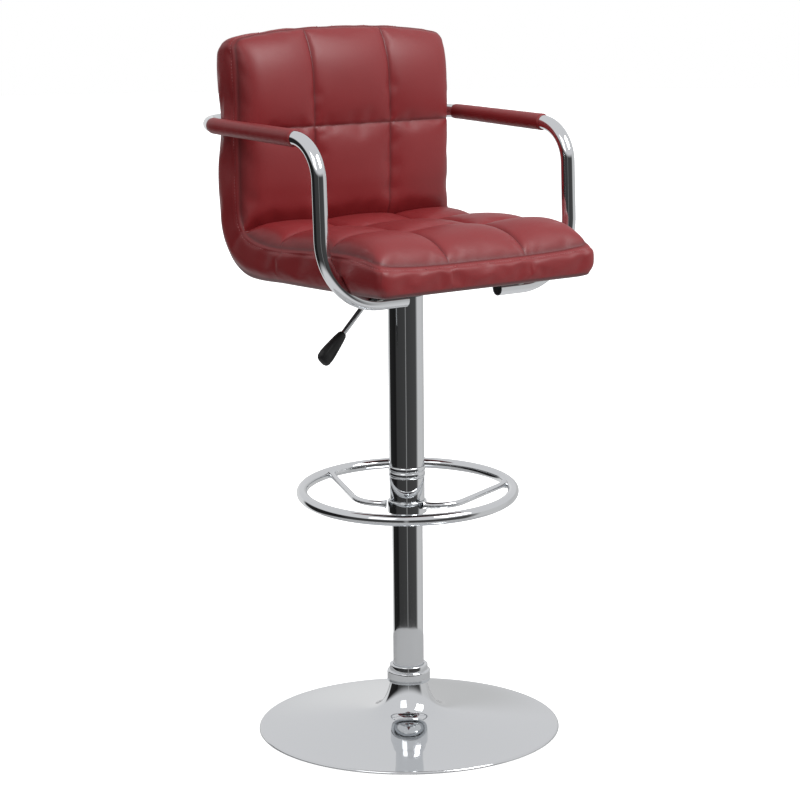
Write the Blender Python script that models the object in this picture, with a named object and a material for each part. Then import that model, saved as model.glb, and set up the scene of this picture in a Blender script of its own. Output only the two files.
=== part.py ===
"""Adjustable swivel stool: a trumpet base, a gas-lift column with a foot ring, and a quilted
seat with a back and looped arms.

Metres, +Z up, the sitter faces -Y. The origin is on the floor at the centre of the base.
The height stands near the middle of its travel.
"""
import math

import bmesh
import bpy
import numpy as np
from mathutils import Matrix, Vector

# ---- driving dimensions (metres) ------------------------------------------------------------
GAP = 0.0003                      # air left between touching pieces

BASE_RADIUS = 0.2255
BASE_SKIN = 0.0016
BASE_SKIRT = 0.0042               # height of the rolled rim
NECK_RADIUS = 0.0275
NECK_TOP = 0.0697

COLUMN_RADIUS = 0.0230            # fixed lower tube
COLUMN_WALL = 0.0020
COLUMN_TOP = 0.4800

SLIDE_RADIUS = 0.0263             # moving upper tube
SLIDE_WALL = 0.0018
SLIDE_TOP = 0.6550
COLLAR_LOW, COLLAR_HIGH = 0.3300, 0.3490
BAND_LOW, BAND_HIGH = 0.3844, 0.4003

CYLINDER_RADIUS = 0.0140
CYLINDER_LOW, CYLINDER_TOP = 0.3300, 0.6590
ROD_RADIUS = 0.0050

RING_RADIUS = 0.1600              # centre line of the foot ring
RING_TUBE = 0.0085
RING_OFFSET = 0.0600              # ring centre out from the column
RING_HEIGHT = 0.3490
RING_TURN = math.radians(50.7)    # way the ring points, from +X towards +Y
RING_RISE = math.radians(3.2)     # the ring climbs away from the column
STRUT_RADIUS = 0.0047
STRUT_TURN = math.radians(42.0)   # way between the two bars, from +X towards +Y
STRUT_BACK = 0.0175               # the bars leave the collar this far behind the column's axis
STRUT_START = 0.0275
STRUT_CORNER = 0.0690             # how far aside the bars turn
STRUT_BEND = 0.0500
STRUT_SPREAD = math.radians(25.5)  # slant of the outer run of each bar

SHELL_BOTTOM = 0.6820             # underside and rear face of the upholstered shell
SHELL_REAR = 0.1970
SHELL_FRONT = -0.1780
SHELL_BEND = 0.0800
COVER_THICK = 0.0030
BOARD_THICK = 0.0100
BOARD_HALF_SEAT, BOARD_HALF_BACK = 0.1500, 0.1660
COVER_HALF_SEAT, COVER_HALF_BACK = 0.1540, 0.1720
SHELL_TOP = 0.9950
PAD_HALF = 0.1990
PAD_FRONT = -0.2000
PAD_EDGE = 0.0270
SEAT_TOP = 0.7560
BACK_TOP = 1.0400
BACK_FRONT = 0.1220
BACK_PAD_LOW = 0.7583

ARM_X = 0.2274                    # centre line of the arm loops
ARM_Y = -0.1065                   # the run under the seat
ARM_Z = 0.8948                    # where the upright and the armrest would meet
ARM_REAR = 0.2120
ARM_LOW = 0.6670
ARM_LEAN = math.radians(2.0)      # the upright leans back
ARM_RISE = math.radians(2.2)      # the armrest climbs to the rear
ARM_TUBE = 0.0105
ARM_WALL = 0.0014
ARM_LOW_BEND, ARM_TOP_BEND, ARM_REAR_BEND = 0.0950, 0.0580, 0.0750

PLATE_THICK = 0.0030
HUB_RADIUS = 0.0220
LEVER_Z = 0.6665
LEVER_ROD = 0.0040
LEVER_PIVOT_X = -0.0180


# ---- scene and materials --------------------------------------------------------------------
for old in list(bpy.data.objects):
    bpy.data.objects.remove(old, do_unlink=True)


def material(name, colour, metallic, roughness):
    """A Principled material with one colour."""
    made = bpy.data.materials.new(name)
    made.use_nodes = True
    shader = made.node_tree.nodes["Principled BSDF"]
    shader.inputs["Base Color"].default_value = (*colour, 1.0)
    shader.inputs["Metallic"].default_value = metallic
    shader.inputs["Roughness"].default_value = roughness
    return made


CHROME = material("chrome", (0.80, 0.80, 0.81), 1.0, 0.06)
STEEL = material("bare_steel", (0.45, 0.45, 0.46), 1.0, 0.35)
BLACK_STEEL = material("black_steel", (0.02, 0.02, 0.02), 0.0, 0.40)
IRON = material("cast_iron", (0.10, 0.10, 0.10), 0.6, 0.60)
PLASTIC = material("black_plastic", (0.03, 0.03, 0.03), 0.0, 0.45)
RUBBER = material("rubber", (0.05, 0.05, 0.05), 0.0, 0.80)
PLYWOOD = material("plywood", (0.55, 0.38, 0.22), 0.0, 0.60)
LEATHERETTE = material("leatherette", (0.28, 0.04, 0.05), 0.0, 0.45)
FOAM = material("foam", (0.80, 0.76, 0.62), 0.0, 0.90)


def empty(name, place=(0.0, 0.0, 0.0)):
    """A parent on a joint's axis."""
    made = bpy.data.objects.new(name, None)
    made.location = place
    bpy.context.scene.collection.objects.link(made)
    return made


BASE = empty("base_frame")
LIFT = empty("lift_frame")
SEAT = empty("seat_frame", (0.0, 0.0, SLIDE_TOP))
LEVER = empty("lever_frame", (LEVER_PIVOT_X, 0.0, LEVER_Z))
VALVE = empty("valve_frame", (0.0, 0.0, CYLINDER_TOP))
bpy.context.view_layer.update()


def place(mesh, name, look, parent, corner=40.0):
    """Link a world-space mesh as a smooth-shaded object under its body's empty."""
    made = bpy.data.objects.new(name, mesh)
    mesh.name = name
    mesh.materials.append(look)
    mesh.shade_smooth()
    mesh.set_sharp_from_angle(angle=math.radians(corner))
    bpy.context.scene.collection.objects.link(made)
    made.parent = parent
    made.matrix_parent_inverse = parent.matrix_world.inverted()
    return made


def mesh_of(points, faces):
    """A mesh whose faces are turned to point outwards."""
    mesh = bpy.data.meshes.new("made")
    mesh.from_pydata([tuple(p) for p in points], [], faces)
    work = bmesh.new()
    work.from_mesh(mesh)
    bmesh.ops.recalc_face_normals(work, faces=work.faces)
    work.to_mesh(mesh)
    work.free()
    return mesh


def turned(name, profile, look, parent, sides=24, axis=None, centre=(0.0, 0.0, 0.0)):
    """A closed (radius, height) outline turned about Z, or about another axis at a centre."""
    count = len(profile)
    points = []
    for side in range(sides):
        turn = 2.0 * math.pi * side / sides
        points += [Vector((r * math.cos(turn), r * math.sin(turn), z)) for r, z in profile]
    if axis is not None:
        turn_to = Vector((0.0, 0.0, 1.0)).rotation_difference(Vector(axis)).to_matrix()
        points = [turn_to @ p + Vector(centre) for p in points]
    faces = []
    for side in range(sides):
        near, far = side * count, (side + 1) % sides * count
        for k in range(count):
            n = (k + 1) % count
            faces.append((near + k, far + k, far + n, near + n))
    return place(mesh_of(points, faces), name, look, parent)


def ring(name, inner, outer, low, high, look, parent, sides=24, soften=0.0):
    """A plain tube or washer about Z, with its outer edges chamfered by soften."""
    s = soften
    profile = [(inner, high), (outer - s, high), (outer, high - s), (outer, low + s),
               (outer - s, low), (inner, low)]
    if s == 0.0:
        profile = [(inner, high), (outer, high), (outer, low), (inner, low)]
    return turned(name, profile, look, parent, sides)


def frames_along(path, closed):
    """Two unit vectors square to a path at each point, carried along without twist."""
    count = len(path)
    tangents = []
    for k in range(count):
        before = path[(k - 1) % count] if closed or k > 0 else path[k]
        after = path[(k + 1) % count] if closed or k < count - 1 else path[k]
        tangents.append((after - before).normalized())
    start = Vector((0.0, 0.0, 1.0)) if abs(tangents[0].z) < 0.9 else Vector((0.0, 1.0, 0.0))
    across = (start - tangents[0] * start.dot(tangents[0])).normalized()
    frames = []
    for tangent in tangents:
        across = (across - tangent * across.dot(tangent)).normalized()
        frames.append((across, tangent.cross(across)))
    return frames


def swept(name, path, outer, look, parent, sides=12, inner=None, closed=False):
    """A round bar along a path, or a pipe open at both ends when inner radii are given."""
    count = len(path)
    outer = [outer] * count if np.isscalar(outer) else outer
    frames = frames_along(path, closed)

    def rings(radii):
        return [centre + (a * math.cos(t) + b * math.sin(t)) * radius
                for centre, (a, b), radius in zip(path, frames, radii)
                for t in (2.0 * math.pi * side / sides for side in range(sides))]

    def skin(offset):
        last = count if closed else count - 1
        return [(offset + k * sides + s, offset + k * sides + (s + 1) % sides,
                 offset + (k + 1) % count * sides + (s + 1) % sides,
                 offset + (k + 1) % count * sides + s)
                for k in range(last) for s in range(sides)]

    points, faces = rings(outer), skin(0)
    if closed:
        return place(mesh_of(points, faces), name, look, parent)
    end = (count - 1) * sides
    if inner is None:
        faces += [tuple(range(sides)), tuple(range(end, end + sides))]
        return place(mesh_of(points, faces), name, look, parent)
    bore = count * sides
    points += rings([inner] * count)
    faces += skin(bore)
    for s in range(sides):
        n = (s + 1) % sides
        faces.append((s, n, bore + n, bore + s))
        faces.append((end + s, end + n, bore + end + n, bore + end + s))
    return place(mesh_of(points, faces), name, look, parent)


def block(name, low, high, look, parent, edge=0.0, steps=2):
    """A box between two corners, its edges rounded by a Bevel modifier."""
    mesh = bpy.data.meshes.new(name)
    work = bmesh.new()
    low, high = Vector(low), Vector(high)
    size = Matrix.Diagonal((*(high - low), 1.0))
    bmesh.ops.create_cube(work, size=1.0, matrix=Matrix.Translation((low + high) / 2.0) @ size)
    work.to_mesh(mesh)
    work.free()
    made = place(mesh, name, look, parent)
    if edge > 0.0:
        round_off = made.modifiers.new("rounded_edges", "BEVEL")
        round_off.width = edge
        round_off.segments = steps
        round_off.limit_method = "NONE"
    return made


def cut(made, *cutters):
    """Take cutters away from a piece; a cutter stays as a hidden wire guide."""
    for cutter in cutters:
        cutter.hide_render = True
        cutter.display_type = "WIRE"
        bite = made.modifiers.new("cut", "BOOLEAN")
        bite.operation = "DIFFERENCE"
        bite.solver = "EXACT"
        bite.object = cutter


def drill(name, radius, centre, axis, length, parent, sides=10):
    """A round cutter centred on a point."""
    middle = Vector(centre)
    half = Vector(axis) * (length / 2.0)
    return swept(name, [middle - half, middle + half], radius, STEEL, parent, sides)


def screw(name, centre, axis, shank, length, head, thick, look, parent):
    """A pan-head screw: the head's flat underside is at centre, the shank runs along axis."""
    profile = [(head * 0.45, -thick), (head * 0.85, -thick * 0.75), (head, -thick * 0.3),
               (head, 0.0), (shank, 0.0), (shank, length)]
    points, faces, sides = [], [], 12
    turn_to = Vector((0.0, 0.0, 1.0)).rotation_difference(Vector(axis)).to_matrix()
    for side in range(sides):
        turn = 2.0 * math.pi * side / sides
        for r, z in profile:
            local = Vector((r * math.cos(turn), r * math.sin(turn), z))
            points.append(turn_to @ local + Vector(centre))
    count = len(profile)
    for side in range(sides):
        near, far = side * count, (side + 1) % sides * count
        faces += [(near + k, far + k, far + k + 1, near + k + 1) for k in range(count - 1)]
    faces.append(tuple(side * count for side in range(sides)))
    faces.append(tuple(side * count + count - 1 for side in range(sides)))
    return place(mesh_of(points, faces), name, look, parent)


def arc(centre, radius, first, last, steps, across, up):
    """Points on an arc of a circle spanned by two unit vectors, angles in degrees."""
    centre, across, up = Vector(centre), Vector(across), Vector(up)
    angles = [math.radians(first + (last - first) * k / steps) for k in range(steps + 1)]
    return [centre + across * (radius * math.cos(a)) + up * (radius * math.sin(a))
            for a in angles]


# ---- base: trumpet plate, ballast and fixed column -------------------------------------------
def plate_height(radius):
    """A shallow cone that rises to the middle and sweeps up into the neck."""
    inward = (BASE_RADIUS - radius) / (BASE_RADIUS - NECK_RADIUS)
    cone = 0.0240 * inward ** 1.3
    neck = (NECK_TOP - BASE_SKIRT - 0.0240) * math.exp((NECK_RADIUS - radius) / 0.0100)
    return BASE_SKIRT + cone + neck


def base_plate():
    """One spun sheet of even thickness, open below, with a short rolled rim."""
    reach = BASE_RADIUS - 0.0006 - NECK_RADIUS
    last = 10
    radii = [NECK_RADIUS + reach * (k / last) ** 2.0 for k in range(last + 1)]
    top = [(r, plate_height(r)) for r in radii]
    rim = [(BASE_RADIUS, BASE_SKIRT - 0.0008), (BASE_RADIUS, 0.0008),
           (BASE_RADIUS - BASE_SKIN, 0.0008)]
    under = []
    for k in range(last, -1, -1):
        before, after = top[max(k - 1, 0)], top[min(k + 1, last)]
        along = Vector((after[0] - before[0], after[1] - before[1])).normalized()
        r, z = top[k]
        under.append((r + along.y * BASE_SKIN, z - along.x * BASE_SKIN))
    return turned("base_plate", top + rim + under, CHROME, BASE, 40)


base_plate()
ring("base_edge_ring", 0.2165, BASE_RADIUS - BASE_SKIN - GAP, 0.0, 0.0022, RUBBER, BASE, 40)
ring("ballast_disc", 0.0240, 0.1000, 0.0060, 0.0140, IRON, BASE)
ring("base_column", COLUMN_RADIUS - COLUMN_WALL, COLUMN_RADIUS, 0.0010, COLUMN_TOP, CHROME, BASE)
turned("base_lock_nut", [(0.0236, 0.0057), (0.0330, 0.0057), (0.0330, 0.0012), (0.0236, 0.0012)],
       STEEL, BASE)
turned("base_collar", [(0.0234, 0.0970), (0.0268, 0.0970), (0.0286, 0.0945), (0.0290, 0.0888),
                       (0.0312, 0.0880), (0.0322, 0.0865), (0.0322, 0.0722), (0.0312, 0.0706),
                       (0.0234, 0.0706)], CHROME, BASE)
GUIDE_SEAT = COLUMN_TOP + GAP
turned("column_guide", [(0.0144, GUIDE_SEAT + 0.0029), (0.0216, GUIDE_SEAT + 0.0029),
                        (0.0228, GUIDE_SEAT + 0.0019), (0.0228, GUIDE_SEAT),
                        (0.0207, GUIDE_SEAT), (0.0207, 0.4400), (0.0144, 0.4400)],
       PLASTIC, BASE)
ring("rod_seat", 0.0056, 0.0207, 0.0120, 0.0180, STEEL, BASE)
ring("rod_clip", 0.0053, 0.0095, 0.0090, 0.0105, STEEL, BASE, 20)
swept("piston_rod", [Vector((0.0, 0.0, 0.0060)), Vector((0.0, 0.0, 0.4700))], ROD_RADIUS,
      STEEL, BASE, 16)
ring("piston", 0.0053, 0.0111, 0.4540, 0.4660, PLASTIC, BASE)

# ---- lift: upper tube and foot ring ----------------------------------------------------------
SLIDE_BORE = SLIDE_RADIUS - SLIDE_WALL
ring("outer_tube", SLIDE_BORE, SLIDE_RADIUS, BAND_HIGH + GAP, SLIDE_TOP, CHROME, LIFT)
turned("trim_band", [(SLIDE_BORE, BAND_HIGH), (0.0262, BAND_HIGH), (0.0273, 0.3988),
                     (0.0273, 0.3955), (0.0266, 0.3924), (0.0273, 0.3893), (0.0273, 0.3858),
                     (0.0262, BAND_LOW), (SLIDE_BORE, BAND_LOW)], CHROME, LIFT)
ring("footrest_sleeve", SLIDE_BORE, SLIDE_RADIUS, COLLAR_HIGH + GAP, BAND_LOW - GAP, CHROME, LIFT)
COLLAR = ring("footrest_collar", SLIDE_BORE, 0.0292, COLLAR_LOW, COLLAR_HIGH, CHROME, LIFT,
              soften=0.0012)
ring("slide_bush", COLUMN_RADIUS + 0.0004, SLIDE_BORE - GAP, COLLAR_LOW + 0.001, 0.4300,
     PLASTIC, LIFT)
turned("swivel_bush", [(HUB_RADIUS + 0.0004, 0.6576), (SLIDE_RADIUS, 0.6576),
                       (SLIDE_RADIUS, SLIDE_TOP + GAP), (SLIDE_BORE - GAP, SLIDE_TOP + GAP),
                       (SLIDE_BORE - GAP, 0.6200), (HUB_RADIUS + 0.0004, 0.6200)], PLASTIC, LIFT)

RING_OUT = Vector((math.cos(RING_TURN), math.sin(RING_TURN), 0.0))
RING_SIDE = Vector((-RING_OUT.y, RING_OUT.x, 0.0))
RING_SLOPE = (RING_OUT * math.cos(RING_RISE) + Vector((0.0, 0.0, math.sin(RING_RISE))))
RING_CENTRE = RING_OUT * RING_OFFSET + Vector((0.0, 0.0, RING_HEIGHT))


STRUT_SKEW = RING_TURN - STRUT_TURN
STRUT_OUT = RING_SLOPE * math.cos(STRUT_SKEW) - RING_SIDE * math.sin(STRUT_SKEW)
STRUT_SIDE = RING_SLOPE * math.sin(STRUT_SKEW) + RING_SIDE * math.cos(STRUT_SKEW)
STRUT_GAP = 0.0039                # from a bar's end face to the ring's tube, for the weld

RING_STEPS = 40
swept("footrest_ring", arc(RING_CENTRE, RING_RADIUS, 0.0, 360.0 * (1.0 - 1.0 / RING_STEPS),
                           RING_STEPS - 1, RING_SLOPE, RING_SIDE), RING_TUBE, CHROME, LIFT, 10,
      closed=True)


def strut(name, side):
    """A thin bar that leaves the collar sideways, bends and runs straight out to the ring."""
    across = STRUT_SIDE * side
    level = RING_CENTRE - RING_SLOPE * RING_OFFSET - STRUT_OUT * STRUT_BACK
    corner = level + across * STRUT_CORNER
    turn = math.pi / 2.0 - STRUT_SPREAD
    middle = corner - across * (STRUT_BEND * math.tan(turn / 2.0)) + STRUT_OUT * STRUT_BEND
    bend = arc(middle, STRUT_BEND, 0.0, math.degrees(turn), 8, -STRUT_OUT, across)
    way = STRUT_OUT * math.cos(STRUT_SPREAD) + across * math.sin(STRUT_SPREAD)
    to_corner = corner - RING_CENTRE
    reach = RING_RADIUS - RING_TUBE - STRUT_GAP
    run = math.sqrt(to_corner.dot(way) ** 2 - to_corner.length_squared + reach ** 2)
    end = corner + way * (run - to_corner.dot(way))
    return swept(name, [level + across * STRUT_START] + bend + [end], STRUT_RADIUS, CHROME,
                 LIFT, 8)


strut("footrest_strut_left", 1.0)
strut("footrest_strut_right", -1.0)
SCREW_MIDDLE = Vector((0.0, 0.0, (COLLAR_LOW + COLLAR_HIGH) / 2.0))
cut(COLLAR, drill("collar_screw_hole", 0.0028, SCREW_MIDDLE + RING_OUT * 0.0280, RING_OUT,
                  0.0120, LIFT))
swept("collar_screw", [SCREW_MIDDLE + RING_OUT * r for r in (0.0246, 0.0290)], 0.0025,
      STEEL, LIFT, 12)

# ---- gas spring, hub and plates under the seat -----------------------------------------------
turned("gas_cylinder", [(0.0115, CYLINDER_LOW), (0.0115, 0.6400), (0.0034, 0.6400),
                        (0.0034, CYLINDER_TOP), (0.0132, CYLINDER_TOP), (0.0138, 0.6100),
                        (CYLINDER_RADIUS, 0.6000), (CYLINDER_RADIUS, CYLINDER_LOW)],
       BLACK_STEEL, SEAT)
ring("rod_seal", 0.0054, 0.0112, 0.3310, 0.3410, RUBBER, SEAT)

ARM_PLATE_HIGH = SHELL_BOTTOM - GAP
ARM_PLATE_LOW = ARM_PLATE_HIGH - PLATE_THICK
MOUNT_HIGH = ARM_PLATE_LOW - GAP
MOUNT_LOW = MOUNT_HIGH - PLATE_THICK
HUB_TOP = MOUNT_LOW - GAP

HUB = turned("taper_hub", [(0.0143, HUB_TOP), (HUB_RADIUS, HUB_TOP), (HUB_RADIUS, 0.6050),
                           (0.0143, 0.6050)], BLACK_STEEL, SEAT)
cut(HUB,
    block("lever_slot", (-0.0300, -LEVER_ROD - 0.0006, LEVER_Z - 0.0052),
          (0.0, LEVER_ROD + 0.0006, 0.6900), BLACK_STEEL, SEAT),
    drill("pivot_hole", 0.0018, (LEVER_PIVOT_X, 0.0, LEVER_Z), (0.0, 1.0, 0.0), 0.0600, SEAT))
swept("lever_pivot_pin", [Vector((LEVER_PIVOT_X, y, LEVER_Z)) for y in (-0.0105, 0.0105)],
      0.0015, STEEL, SEAT, 12)

MOUNT_HALF, MOUNT_BOLT = 0.0750, 0.0600
ARM_PLATE_HALF, ARM_PLATE_FRONT, ARM_PLATE_REAR = 0.1450, -0.1350, 0.0850
ARM_BOLT_X, ARM_BOLT_Y = 0.1300, (-0.1240, 0.0680)


def bolted_plate(name, low, high, edge, bolts, hole):
    """A flat plate with rounded corners and clearance holes for its bolts."""
    flat = block(name, low, high, BLACK_STEEL, SEAT)
    corners = flat.data.attributes.new("bevel_weight_edge", "FLOAT", "EDGE")
    for line in flat.data.edges:
        a, b = (flat.data.vertices[v].co for v in line.vertices)
        corners.data[line.index].value = 1.0 if abs(a.z - b.z) > 0.001 else 0.0
    round_off = flat.modifiers.new("rounded_corners", "BEVEL")
    round_off.width = edge
    round_off.segments = 4
    round_off.limit_method = "WEIGHT"
    middle = (low[2] + high[2]) / 2.0
    for number, (x, y) in enumerate(bolts, 1):
        cut(flat, drill(f"{name}_hole_{number}", hole, (x, y, middle), (0.0, 0.0, 1.0),
                        0.0200, SEAT))
    return flat


MOUNT_BOLTS = [(x, y) for x in (-MOUNT_BOLT, MOUNT_BOLT) for y in (-MOUNT_BOLT, MOUNT_BOLT)]
ARM_BOLTS = [(x, y) for x in (-ARM_BOLT_X, ARM_BOLT_X) for y in ARM_BOLT_Y]
bolted_plate("mount_plate", (-MOUNT_HALF, -MOUNT_HALF, MOUNT_LOW),
             (MOUNT_HALF, MOUNT_HALF, MOUNT_HIGH), 0.012, MOUNT_BOLTS, 0.0034)
bolted_plate("arm_plate", (-ARM_PLATE_HALF, ARM_PLATE_FRONT, ARM_PLATE_LOW),
             (ARM_PLATE_HALF, ARM_PLATE_REAR, ARM_PLATE_HIGH), 0.015,
             MOUNT_BOLTS + ARM_BOLTS, 0.0034)


# ---- lever and valve pin ---------------------------------------------------------------------
LEVER_BEND_X = -0.0500
LEVER_DOWN = math.radians(44.0)
LEVER_WAY = Vector((-math.cos(LEVER_DOWN), 0.0, -math.sin(LEVER_DOWN)))
LEVER_ELBOW = 0.0140              # radius of the rod's bend
LEVER_INNER_END = 0.0060          # the rod ends here, over the valve pin
LEVER_STRAIGHT = 0.0860           # straight run from the bend to the rod's tip
HANDLE_OVERLAP = 0.0100           # the handle begins this far before the rod's tip
HANDLE_BORE = 0.0300
PIVOT_HOLE = 0.0018
VALVE_PIN, VALVE_PIN_LOW = 0.0029, 0.6430


def lever_path():
    """From over the valve pin, out through the hub, then down at a slant to the handle."""
    bend = arc((LEVER_BEND_X, 0.0, LEVER_Z - LEVER_ELBOW), LEVER_ELBOW, 90.0,
               90.0 + math.degrees(LEVER_DOWN), 6, (1.0, 0.0, 0.0), (0.0, 0.0, 1.0))
    start = [Vector((x, 0.0, LEVER_Z)) for x in (LEVER_INNER_END, LEVER_PIVOT_X)]
    return start + bend + [bend[-1] + LEVER_WAY * LEVER_STRAIGHT]


LEVER_TIP = lever_path()[-1]
ROD = swept("lever_rod", lever_path(), LEVER_ROD, STEEL, LEVER, 12)
cut(ROD, drill("lever_rod_hole", PIVOT_HOLE, (LEVER_PIVOT_X, 0.0, LEVER_Z), (0.0, 1.0, 0.0),
               0.0200, LEVER))


def lever_handle():
    """A moulded paddle over the rod's end: oval sections that widen and end round."""
    wide = LEVER_WAY.cross(Vector((0.0, 1.0, 0.0))).normalized()
    thin = Vector((0.0, 1.0, 0.0))
    stations = [(-0.0010, 0.0052, 0.0050), (0.0040, 0.0062, 0.0056), (0.0160, 0.0088, 0.0060),
                (0.0300, 0.0112, 0.0064), (0.0430, 0.0126, 0.0062), (0.0510, 0.0112, 0.0052),
                (0.0550, 0.0070, 0.0030)]
    sides = 16
    start = LEVER_TIP - LEVER_WAY * HANDLE_OVERLAP
    points = []
    for along, half_wide, half_thin in stations:
        centre = start + LEVER_WAY * along
        for side in range(sides):
            turn = 2.0 * math.pi * side / sides
            points.append(centre + wide * (half_wide * math.cos(turn))
                          + thin * (half_thin * math.sin(turn)))
    faces = [(k * sides + s, k * sides + (s + 1) % sides, (k + 1) * sides + (s + 1) % sides,
              (k + 1) * sides + s) for k in range(len(stations) - 1) for s in range(sides)]
    last = (len(stations) - 1) * sides
    faces += [tuple(range(sides)), tuple(range(last, last + sides))]
    handle = place(mesh_of(points, faces), "lever_handle", PLASTIC, LEVER)
    cut(handle, swept("handle_bore", [LEVER_TIP - LEVER_WAY * HANDLE_BORE, LEVER_TIP
                                      + LEVER_WAY * GAP], LEVER_ROD + GAP, PLASTIC, LEVER, 12))


lever_handle()
swept("valve_pin", [Vector((0.0, 0.0, z)) for z in (VALVE_PIN_LOW, LEVER_Z - LEVER_ROD - GAP)],
      VALVE_PIN, STEEL, VALVE, 12)


# ---- upholstered shell -----------------------------------------------------------------------
def shell_outline(depth):
    """The side line of the shell, depth in from its underside and rear: seat, bend, back."""
    radius = SHELL_BEND - depth
    middle = (SHELL_REAR - SHELL_BEND, SHELL_BOTTOM + SHELL_BEND)
    line = [(SHELL_FRONT, SHELL_BOTTOM + depth)]
    for k in range(9):
        turn = math.radians(-90.0 + 90.0 * k / 8)
        line.append((middle[0] + radius * math.cos(turn), middle[1] + radius * math.sin(turn)))
    return line + [(SHELL_REAR - depth, SHELL_TOP)]


def shell_sheet(name, near, far, half_seat, half_back, look):
    """A bent sheet between two depths that widens from the seat to the back."""
    near_line, far_line = shell_outline(near), shell_outline(far)
    side = len(near_line)
    halves = [half_seat + (half_back - half_seat) * k / (side - 1) for k in range(side)]
    line, halves = near_line + far_line[::-1], halves + halves[::-1]
    count = len(line)
    points = [(way * half, y, z) for way in (-1.0, 1.0) for half, (y, z) in zip(halves, line)]
    faces = [(k, (k + 1) % count, count + (k + 1) % count, count + k) for k in range(count)]
    for base in (0, count):
        faces += [(base + k, base + k + 1, base + count - 2 - k, base + count - 1 - k)
                  for k in range(side - 1)]
    return place(mesh_of(points, faces), name, look, SEAT)


BOARD_NEAR = COVER_THICK + GAP
BOARD_FAR = BOARD_NEAR + BOARD_THICK
PAD_DEPTH = BOARD_FAR + GAP
COVER = shell_sheet("shell_cover", 0.0, COVER_THICK, COVER_HALF_SEAT, COVER_HALF_BACK,
                    LEATHERETTE)
BOARD = shell_sheet("seat_board", BOARD_NEAR, BOARD_FAR, BOARD_HALF_SEAT, BOARD_HALF_BACK,
                    PLYWOOD)
BOLT_REACH = 0.0100
BOLT_HOLE = 0.0034
for number, (x, y) in enumerate(MOUNT_BOLTS + ARM_BOLTS, 1):
    for sheet in (COVER, BOARD):
        cut(sheet, drill(f"{sheet.name}_hole_{number}", BOLT_HOLE, (x, y, SHELL_BOTTOM),
                         (0.0, 0.0, 1.0), 2.0 * BOLT_REACH + 0.002, SEAT))
block("seat_pad", (-PAD_HALF, PAD_FRONT, SHELL_BOTTOM + PAD_DEPTH),
      (PAD_HALF, SHELL_REAR - SHELL_BEND, SEAT_TOP), LEATHERETTE, SEAT, PAD_EDGE, 3)
block("back_pad", (-PAD_HALF, BACK_FRONT, BACK_PAD_LOW),
      (PAD_HALF, SHELL_REAR - PAD_DEPTH, BACK_TOP), LEATHERETTE, SEAT, PAD_EDGE, 3)


def bend_foam():
    """The foam that fills the shell's bend between the seat pad and the back pad."""
    half, front, top = 0.1560, SHELL_REAR - SHELL_BEND + GAP, BACK_PAD_LOW - GAP
    bend = [(y, z) for y, z in shell_outline(PAD_DEPTH) if y > front and z < top]
    line = [(front, SHELL_BOTTOM + PAD_DEPTH)] + bend + [(bend[-1][0], top), (front, top)]
    count = len(line)
    points = [(x, y, z) for x in (-half, half) for y, z in line]
    faces = [(k, (k + 1) % count, count + (k + 1) % count, count + k) for k in range(count)]
    faces += [tuple(range(count)), tuple(range(count, 2 * count))]
    return place(mesh_of(points, faces), "bend_foam", FOAM, SEAT)


bend_foam()
for number, (x, y) in enumerate(MOUNT_BOLTS, 1):
    screw(f"mount_bolt_{number}", (x, y, MOUNT_LOW - GAP), (0.0, 0.0, 1.0), 0.0030,
          BOLT_REACH + 0.006, 0.0062, 0.0036, STEEL, SEAT)
for number, (x, y) in enumerate(ARM_BOLTS, 1):
    screw(f"arm_bolt_{number}", (x, y, ARM_PLATE_LOW - GAP), (0.0, 0.0, 1.0), 0.0030,
          BOLT_REACH + 0.003, 0.0058, 0.0034, STEEL, SEAT)


# ---- arms ------------------------------------------------------------------------------------
JOINER_HALF = 0.0240
ARM_START = 0.0850                # where the tube begins under the seat
ARM_UP = Vector((0.0, math.sin(ARM_LEAN), math.cos(ARM_LEAN)))
ARM_BACK = Vector((0.0, math.cos(ARM_RISE), math.sin(ARM_RISE)))


def arm_corner(side):
    """Where the lines of the upright and of the armrest meet."""
    return Vector((side * ARM_X, ARM_Y + (ARM_Z - ARM_LOW) * math.tan(ARM_LEAN), ARM_Z))


def rear_bend_middle(side):
    """The centre of the rear bend: its run behind the back lies at ARM_REAR."""
    corner = arm_corner(side)
    along = (ARM_REAR - corner.y) / math.cos(ARM_RISE) - ARM_REAR_BEND
    return corner + ARM_BACK * along - Vector((side * ARM_REAR_BEND, 0.0, 0.0))


ARM_REAR_Z = (rear_bend_middle(1.0) + ARM_BACK * ARM_REAR_BEND).z


def arm_path(side):
    """The arm loop: in under the seat, up, back along the armrest and round behind the back."""
    out = Vector((side, 0.0, 0.0))
    x = side * ARM_X
    low = Vector((x - side * ARM_LOW_BEND, ARM_Y, ARM_LOW)) + ARM_UP * ARM_LOW_BEND
    path = [Vector((side * ARM_START, ARM_Y, ARM_LOW))]
    path += arc(low, ARM_LOW_BEND, -90.0, 0.0, 8, out, ARM_UP)
    turn = math.pi / 2.0 - ARM_LEAN - ARM_RISE
    front = Vector((0.0, -math.cos(ARM_LEAN), math.sin(ARM_LEAN)))
    top = (arm_corner(side) - ARM_UP * (ARM_TOP_BEND * math.tan(turn / 2.0))
           - front * ARM_TOP_BEND)
    path += arc(top, ARM_TOP_BEND, 0.0, math.degrees(turn), 6, front, ARM_UP)
    path += arc(rear_bend_middle(side), ARM_REAR_BEND, 0.0, 90.0, 6, out, ARM_BACK)
    path.append(Vector((side * GAP / 2.0, ARM_REAR, ARM_REAR_Z)))
    return path


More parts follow.
